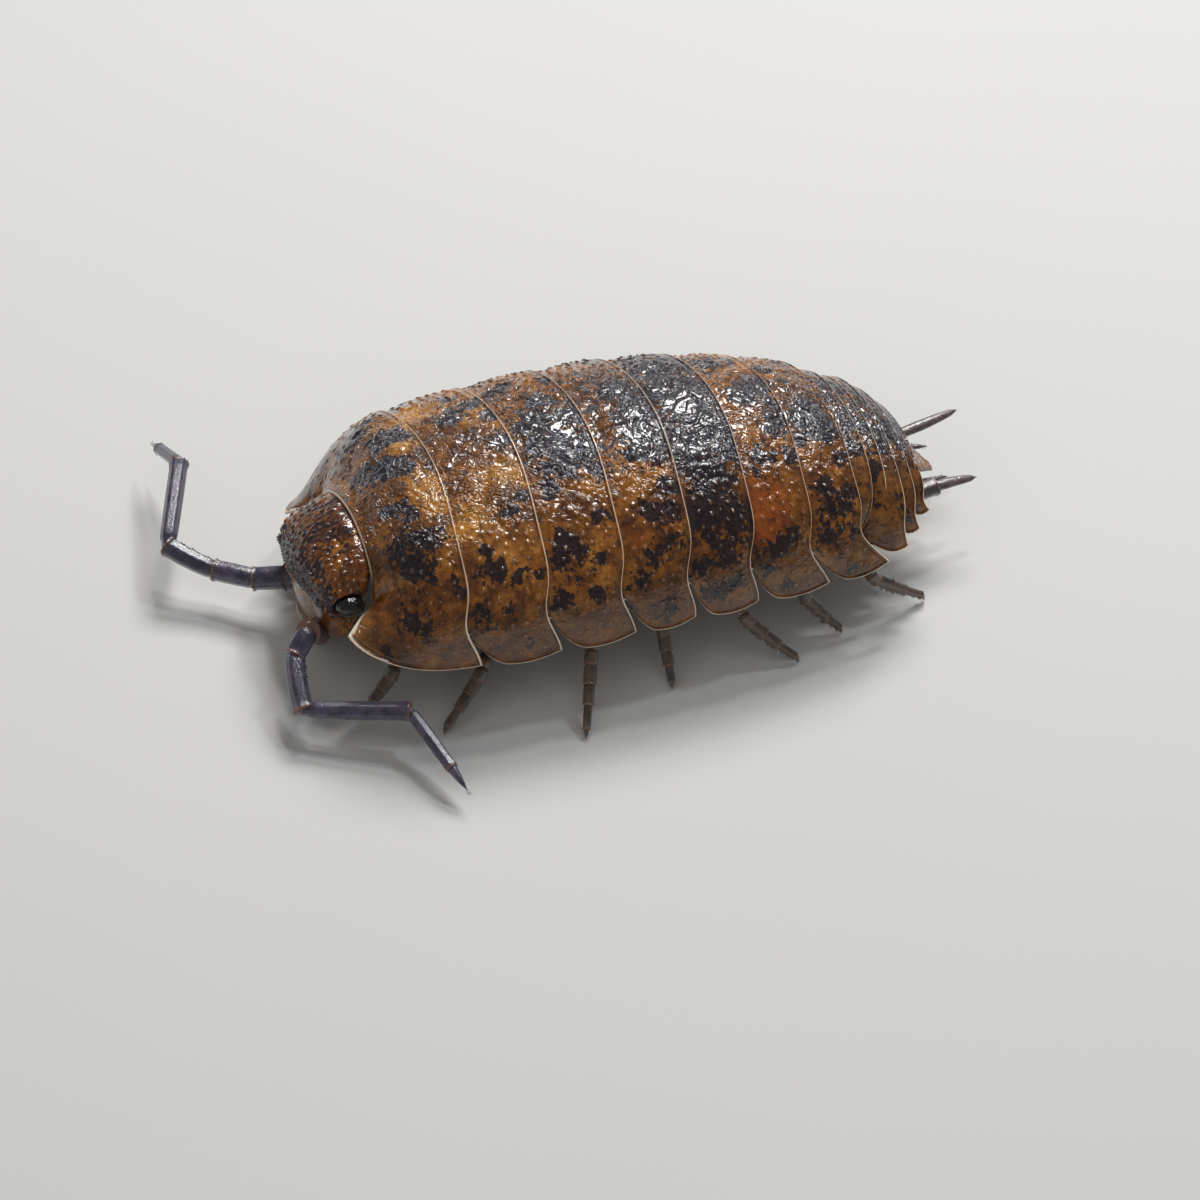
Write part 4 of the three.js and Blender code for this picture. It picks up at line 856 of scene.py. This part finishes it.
# -------------------------------------------------------------------- materials
class Net:
    """A short way to write a material's nodes."""

    def __init__(self, name):
        self.mat = bpy.data.materials.new(name)
        self.mat.use_nodes = True
        self.t = self.mat.node_tree
        self.t.nodes.clear()
        self.out = self.t.nodes.new('ShaderNodeOutputMaterial')
        tc = self.t.nodes.new('ShaderNodeTexCoord')
        sc = self.t.nodes.new('ShaderNodeVectorMath')
        sc.operation = 'SCALE'
        sc.inputs['Scale'].default_value = 1000.0
        self.t.links.new(tc.outputs['Object'], sc.inputs[0])
        self.mm = sc.outputs[0]
        self.attrs = {}

    def put(self, sock, x):
        if hasattr(x, 'is_output'):
            self.t.links.new(x, sock)
        elif isinstance(x, (tuple, list)) and len(x) == 3 and sock.type == 'RGBA':
            sock.default_value = (*x, 1)
        else:
            sock.default_value = x

    def math(self, op, a, b=0.0, c=None, clamp=False):
        n = self.t.nodes.new('ShaderNodeMath')
        n.operation, n.use_clamp = op, clamp
        self.put(n.inputs[0], a)
        self.put(n.inputs[1], b)
        if c is not None:
            self.put(n.inputs[2], c)
        return n.outputs[0]

    def add(self, a, b):
        return self.math('ADD', a, b)

    def mul(self, a, b):
        return self.math('MULTIPLY', a, b)

    def step(self, a, b, x):
        n = self.t.nodes.new('ShaderNodeMapRange')
        n.interpolation_type = 'SMOOTHSTEP'
        self.put(n.inputs['Value'], x)
        n.inputs['From Min'].default_value, n.inputs['From Max'].default_value = a, b
        return n.outputs['Result']

    def mix(self, f, a, b, mode='MIX'):
        n = self.t.nodes.new('ShaderNodeMix')
        n.data_type, n.blend_type, n.clamp_factor = 'RGBA', mode, True
        self.put(n.inputs[0], f)
        self.put(n.inputs[6], a)
        self.put(n.inputs[7], b)
        return n.outputs[2]

    def noise(self, scale, detail=3.0, rough=0.55, warp=0.0, shift=0.0, stretch=None):
        n = self.t.nodes.new('ShaderNodeTexNoise')
        v = self.mm
        if shift or stretch:
            m = self.t.nodes.new('ShaderNodeMapping')
            m.inputs['Location'].default_value = (shift, shift * 0.7, shift * 1.3)
            m.inputs['Scale'].default_value = stretch or (1, 1, 1)
            self.t.links.new(v, m.inputs['Vector'])
            v = m.outputs[0]
        self.t.links.new(v, n.inputs['Vector'])
        n.inputs['Scale'].default_value = scale
        n.inputs['Detail'].default_value = detail
        n.inputs['Roughness'].default_value = rough
        n.inputs['Distortion'].default_value = warp
        return n.outputs[0]

    def attr(self, name):
        if name not in self.attrs:
            n = self.t.nodes.new('ShaderNodeAttribute')
            n.attribute_name = name
            self.attrs[name] = n.outputs['Fac']
        return self.attrs[name]

    def ramp(self, f, stops):
        n = self.t.nodes.new('ShaderNodeValToRGB')
        self.put(n.inputs[0], f)
        e = n.color_ramp.elements
        while len(e) < len(stops):
            e.new(0.5)
        for k, (p, c) in zip(e, stops):
            k.position, k.color = p, (*c, 1)
        return n.outputs[0]

    def bump(self, height, distance, normal=None, strength=1.0):
        n = self.t.nodes.new('ShaderNodeBump')
        n.inputs['Strength'].default_value = strength
        n.inputs['Distance'].default_value = distance
        self.put(n.inputs['Height'], height)
        if normal is not None:
            self.t.links.new(normal, n.inputs['Normal'])
        return n.outputs[0]

    def surface(self, color, rough, normal=None, **const):
        n = self.t.nodes.new('ShaderNodeBsdfPrincipled')
        self.put(n.inputs['Base Color'], color)
        self.put(n.inputs['Roughness'], rough)
        if normal is not None:
            self.t.links.new(normal, n.inputs['Normal'])
            self.t.links.new(normal, n.inputs['Coat Normal'])
        for k, x in const.items():
            n.inputs[k.replace('_', ' ')].default_value = x
        self.t.links.new(n.outputs[0], self.out.inputs[0])
        return self.mat


def shell_material(name, head=False):
    m = Net(name)
    big, mid, fine = m.noise(0.55, 3), m.noise(2.0, 5, 0.62, shift=3.1), m.noise(6.5, 4, 0.62, shift=7.7)
    speck = m.noise(13.0, 2, 0.5, shift=1.9)
    base = m.ramp(m.add(m.mul(big, 0.40), m.mul(mid, 0.60)),
                  [(0.38, (0.055, 0.018, 0.005)), (0.46, (0.150, 0.050, 0.008)), (0.54, (0.290, 0.106, 0.014)), (0.66, (0.460, 0.200, 0.036))])
    base = m.mix(m.mul(m.step(0.0, 1.0, m.attr('tint')), 0.80), base, (0.520, 0.235, 0.034))
    base = m.mix(m.mul(m.step(0.0, 1.0, m.mul(m.attr('tint'), -1.0)), 0.65), base, (0.380, 0.090, 0.012))
    # clouds of brown in the amber, and fine peppering
    base = m.mix(m.mul(m.step(0.52, 0.62, m.noise(3.0, 5, 0.6, shift=31.0)), 0.55), base, (0.072, 0.025, 0.011))
    base = m.mix(m.mul(m.step(0.56, 0.66, fine), 0.60), base, (0.045, 0.015, 0.008))
    # side lobes: greyer and duller, as thin horn over shade
    base = m.mix(m.mul(m.attr('lobe'), 0.52), base, (0.078, 0.040, 0.018))
    # ragged dark blotches and their satellites
    rag = m.add(m.mul(m.add(mid, -0.5), 1.5), m.mul(m.add(fine, -0.5), 1.9))
    mask = m.step(0.545, 0.635, m.add(m.attr('dark'), rag))
    near = m.step(-0.05, 0.45, m.attr('dark'))
    sat = m.mul(m.step(0.588, 0.625, m.noise(3.6, 4, 0.62, shift=12.3)), m.add(0.35, m.mul(near, 0.65)))
    sat2 = m.mul(m.step(0.598, 0.630, m.noise(6.2, 3, 0.55, shift=17.9)), m.add(0.45, m.mul(near, 0.55)))
    mask = m.math('MAXIMUM', mask, m.math('MAXIMUM', m.mul(sat, 0.92), m.mul(sat2, 0.85)), clamp=True)
    ink = m.mix(m.step(0.40, 0.62, speck), (0.0060, 0.0045, 0.0085), (0.022, 0.012, 0.014))
    # on the back the dark ground takes a painted blue-black sheen and pale squiggles, partly real muscle scars and
    # partly painted highlight
    wave = m.math('ABSOLUTE', m.add(m.noise(2.0, 2.0, 0.45, warp=2.6, shift=21.0), -0.5))
    squiggle_scar_and_glint = m.math('SUBTRACT', 1.0, m.step(0.010, 0.036, wave))
    top = m.math('MAXIMUM', m.attr('ridge'), 0.10)
    # painted blue sheen over the dark ground along the ridge
    ink = m.mix(m.mul(m.attr('ridge'), 0.65), ink, (0.012, 0.016, 0.029))
    # pale squiggles on the back: real muscle scars, brightened as painted highlight of the wet wrinkles
    ink = m.mix(m.mul(m.mul(squiggle_scar_and_glint, top), 0.50), ink, (0.120, 0.140, 0.195))
    color = m.mix(m.mul(mask, 0.95), base, ink)
    # granules carry a paler cap, a painted highlight on each granule top
    color = m.mix(m.mul(m.step(0.62, 0.98, m.attr('granule_glint')), 0.38), color, (0.420, 0.240, 0.130))
    # pale horn along the margins, brightened as painted highlight of the wet bead, with a painted gloss line on the
    # second low ridge
    color = m.mix(m.mul(m.step(0.25, 0.85, m.attr('rim')), m.add(0.52, m.mul(mid, 0.80))), color, m.mix(m.attr('lobe'), (0.720, 0.520, 0.380), (0.900, 0.760, 0.620)))
    if head:
        color = m.mix(m.mul(m.step(0.46, 0.60, m.noise(5.0, 3, 0.6, warp=1.0, shift=5.5, stretch=(1, 0.45, 1))), 0.30), color, (0.200, 0.064, 0.022))
    # wet relief: worm-like wrinkles where it is dark, fine leathery pitting elsewhere
    worm = m.mul(m.step(0.0, 0.11, wave), m.add(0.10, m.mul(m.attr('ridge'), 0.90)))
    pits = m.noise(10.0, 3, 0.55, shift=9.0)
    inner = m.math('SUBTRACT', 1.0, m.step(0.05, 0.6, m.attr('rim')))
    nrm = m.bump(m.mul(m.add(worm, m.mul(m.noise(3.0, 1.5, 0.5, warp=0.6, shift=14.0), 0.45)), inner), 0.000034)
    nrm = m.bump(m.mul(pits, inner), 0.000007, nrm)
    rough = m.add(0.26, m.mul(mid, 0.20))
    return m.surface(color, rough, nrm, Coat_Weight=1.0, Coat_Roughness=0.045, Coat_IOR=1.50, IOR=1.45, Specular_IOR_Level=0.22, Subsurface_Weight=0.30,
                     Subsurface_Scale=0.00024, Subsurface_Radius=(1.0, 0.40, 0.12))


def limb_material(name, deep, mid_c, joint, pale):
    m = Net(name)
    a, b = m.noise(3.0, 4), m.noise(14.0, 3, 0.6, shift=4.0)
    c = m.mix(m.step(0.35, 0.65, a), deep, mid_c)
    c = m.mix(m.mul(m.step(0.55, 0.70, b), 0.45), c, pale)
    c = m.mix(m.mul(m.attr('lobe'), 0.6), c, pale)
    c = m.mix(m.mul(m.step(0.35, 0.95, m.attr('rim')), 0.75), c, joint)
    nrm = m.bump(m.noise(18.0, 3, 0.6, shift=2.0, stretch=(1, 1, 1)), 0.000014)
    return m.surface(c, m.add(0.26, m.mul(a, 0.18)), nrm, Coat_Weight=0.9, Coat_Roughness=0.06, IOR=1.48, Subsurface_Weight=0.12,
                     Subsurface_Scale=0.00012, Subsurface_Radius=(1.0, 0.5, 0.3))


def eye_material():
    m = Net('eye lens')
    c = m.mix(m.step(0.4, 0.7, m.noise(9.0, 2)), (0.0035, 0.0035, 0.0045), (0.012, 0.011, 0.014))
    return m.surface(c, 0.12, None, Coat_Weight=1.0, Coat_Roughness=0.03, IOR=1.5)


def under_material():
    m = Net('belly skin')
    a, b = m.noise(1.6, 4), m.noise(9.0, 4, 0.6, shift=6.0)
    c = m.mix(m.step(0.38, 0.62, a), (0.300, 0.215, 0.150), (0.430, 0.335, 0.245))
    c = m.mix(m.mul(m.step(0.56, 0.66, b), 0.5), c, (0.120, 0.070, 0.045))
    c = m.mix(m.mul(m.step(0.1, 0.9, m.attr('rim')), 0.7), c, (0.620, 0.560, 0.470))
    c = m.mix(m.mul(m.attr('dark'), 1.0), c, (0.110, 0.055, 0.030))
    nrm = m.bump(m.noise(7.0, 4, 0.6, warp=0.6), 0.000025)
    return m.surface(c, m.add(0.35, m.mul(b, 0.2)), nrm, Coat_Weight=0.35, Coat_Roughness=0.2, IOR=1.45, Subsurface_Weight=0.25,
                     Subsurface_Scale=0.0002, Subsurface_Radius=(1.0, 0.6, 0.4))


def floor_material():
    m = Net('pale floor')
    c = m.mix(m.noise(0.05, 2), (0.56, 0.56, 0.55), (0.59, 0.585, 0.575))
    return m.surface(c, 0.75, None)


M_SHELL = shell_material('shell horn')
M_HEAD = shell_material('head horn', head=True)
M_EYE = eye_material()
M_ANTENNA = limb_material('antenna horn', (0.030, 0.026, 0.048), (0.082, 0.069, 0.110), (0.200, 0.085, 0.042), (0.130, 0.110, 0.150))
M_UROPOD = limb_material('uropod horn', (0.064, 0.046, 0.046), (0.128, 0.094, 0.090), (0.240, 0.165, 0.130), (0.190, 0.148, 0.138))
M_LEG = limb_material('leg horn', (0.042, 0.027, 0.020), (0.090, 0.058, 0.041), (0.190, 0.115, 0.075), (0.140, 0.096, 0.070))
M_UNDER = under_material()

# --------------------------------------------------------------------- camera
AZ, EL, ROLL, PX, CX, CY, DIST = math.radians(64.27), math.radians(37.191), math.radians(8.656), 42.654, 629.298, 548.694, 110.0
_r = np.array([math.cos(AZ), math.sin(AZ), 0])
_b = np.array([math.sin(AZ) * math.cos(EL), -math.cos(AZ) * math.cos(EL), math.sin(EL)])
_u = np.cross(_b, _r)
r2 = math.cos(ROLL) * _r + math.sin(ROLL) * _u
u2 = -math.sin(ROLL) * _r + math.cos(ROLL) * _u
turned = lambda d: stand(d) - stand(np.zeros(3))
place = placed(stand(_b * DIST))
aim = unit(turned((600 - CX) / PX * r2 - (600 - CY) / PX * u2 - _b * DIST))
z = -aim
x = unit(np.cross(turned(u2), z))
y = np.cross(z, x)
cam = bpy.data.cameras.new('camera')
cam.sensor_width, cam.sensor_fit = 36.0, 'HORIZONTAL'
cam.lens = DIST * PX * 36.0 / 1200.0
cam.clip_start, cam.clip_end = 0.005, 20.0
cam_ob = bpy.data.objects.new('camera', cam)
bpy.context.scene.collection.objects.link(cam_ob)
cam_ob.matrix_world = Matrix([[x[0], y[0], z[0], place[0]], [x[1], y[1], z[1], place[1]], [x[2], y[2], z[2], place[2]], [0, 0, 0, 1]])
bpy.context.scene.camera = cam_ob

# -------------------------------------------------------------- floor and light
fm = bpy.data.meshes.new('floor')
S = 1.5
fm.from_pydata([(-S, -S, 0), (S, -S, 0), (S, S, 0), (-S, S, 0)], [], [(0, 1, 2, 3)])
floor = bpy.data.objects.new('floor', fm)
bpy.context.scene.collection.objects.link(floor)
fm.materials.append(floor_material())


def softbox(name, at, to, size, watts, tint=(1, 1, 1), tall=None):
    li = bpy.data.lights.new(name, 'AREA')
    li.energy, li.color = watts, tint
    li.shape, li.size, li.size_y = 'RECTANGLE', size, tall or size
    ob = bpy.data.objects.new(name, li)
    bpy.context.scene.collection.objects.link(ob)
    at, to = Vector(at), Vector(to)
    ob.matrix_world = Matrix.Translation(at) @ (at - to).to_track_quat('Z', 'Y').to_matrix().to_4x4()
    return ob


softbox('key', (-0.100, 0.058, 0.130), (0, 0, 0.002), 0.070, 0.24, (1.0, 0.985, 0.96), 0.05)
fill = bpy.data.lights.new('fill', 'SUN')
fill.energy, fill.angle, fill.color = 0.85, math.radians(70), (1.0, 0.985, 0.965)
fill_ob = bpy.data.objects.new('fill', fill)
bpy.context.scene.collection.objects.link(fill_ob)
fill_ob.matrix_world = Vector((0.14, -0.10, 0.17)).to_track_quat('Z', 'Y').to_matrix().to_4x4()
fill_ob.visible_glossy = False
softbox('spark_a', (-0.060, 0.030, 0.140), (0, 0, 0.003), 0.014, 0.040)
softbox('spark_b', (-0.020, 0.060, 0.135), (0, 0, 0.003), 0.014, 0.030, (0.94, 0.97, 1.0))
world = bpy.data.worlds.new('studio')
world.use_nodes = True
world.node_tree.nodes['Background'].inputs[0].default_value = (0.80, 0.81, 0.83, 1)
world.node_tree.nodes['Background'].inputs[1].default_value = 0.15
bpy.context.scene.world = world
bpy.context.scene.view_settings.view_transform = 'Standard'

# ------------------------------------------------------------------- the animal
for i in range(12):
    plate(i)
telson()
head()
eye(1, 'left')
eye(-1, 'right')
antenna(ANTENNA_L, 'left', 21)
antenna(ANTENNA_R, 'right', 22)
for n in range(7):
    leg(n, 1)
    leg(n, -1)
uropod(UROPOD_L, 'left', 31)
uropod(UROPOD_R, 'right', 32)
underside()
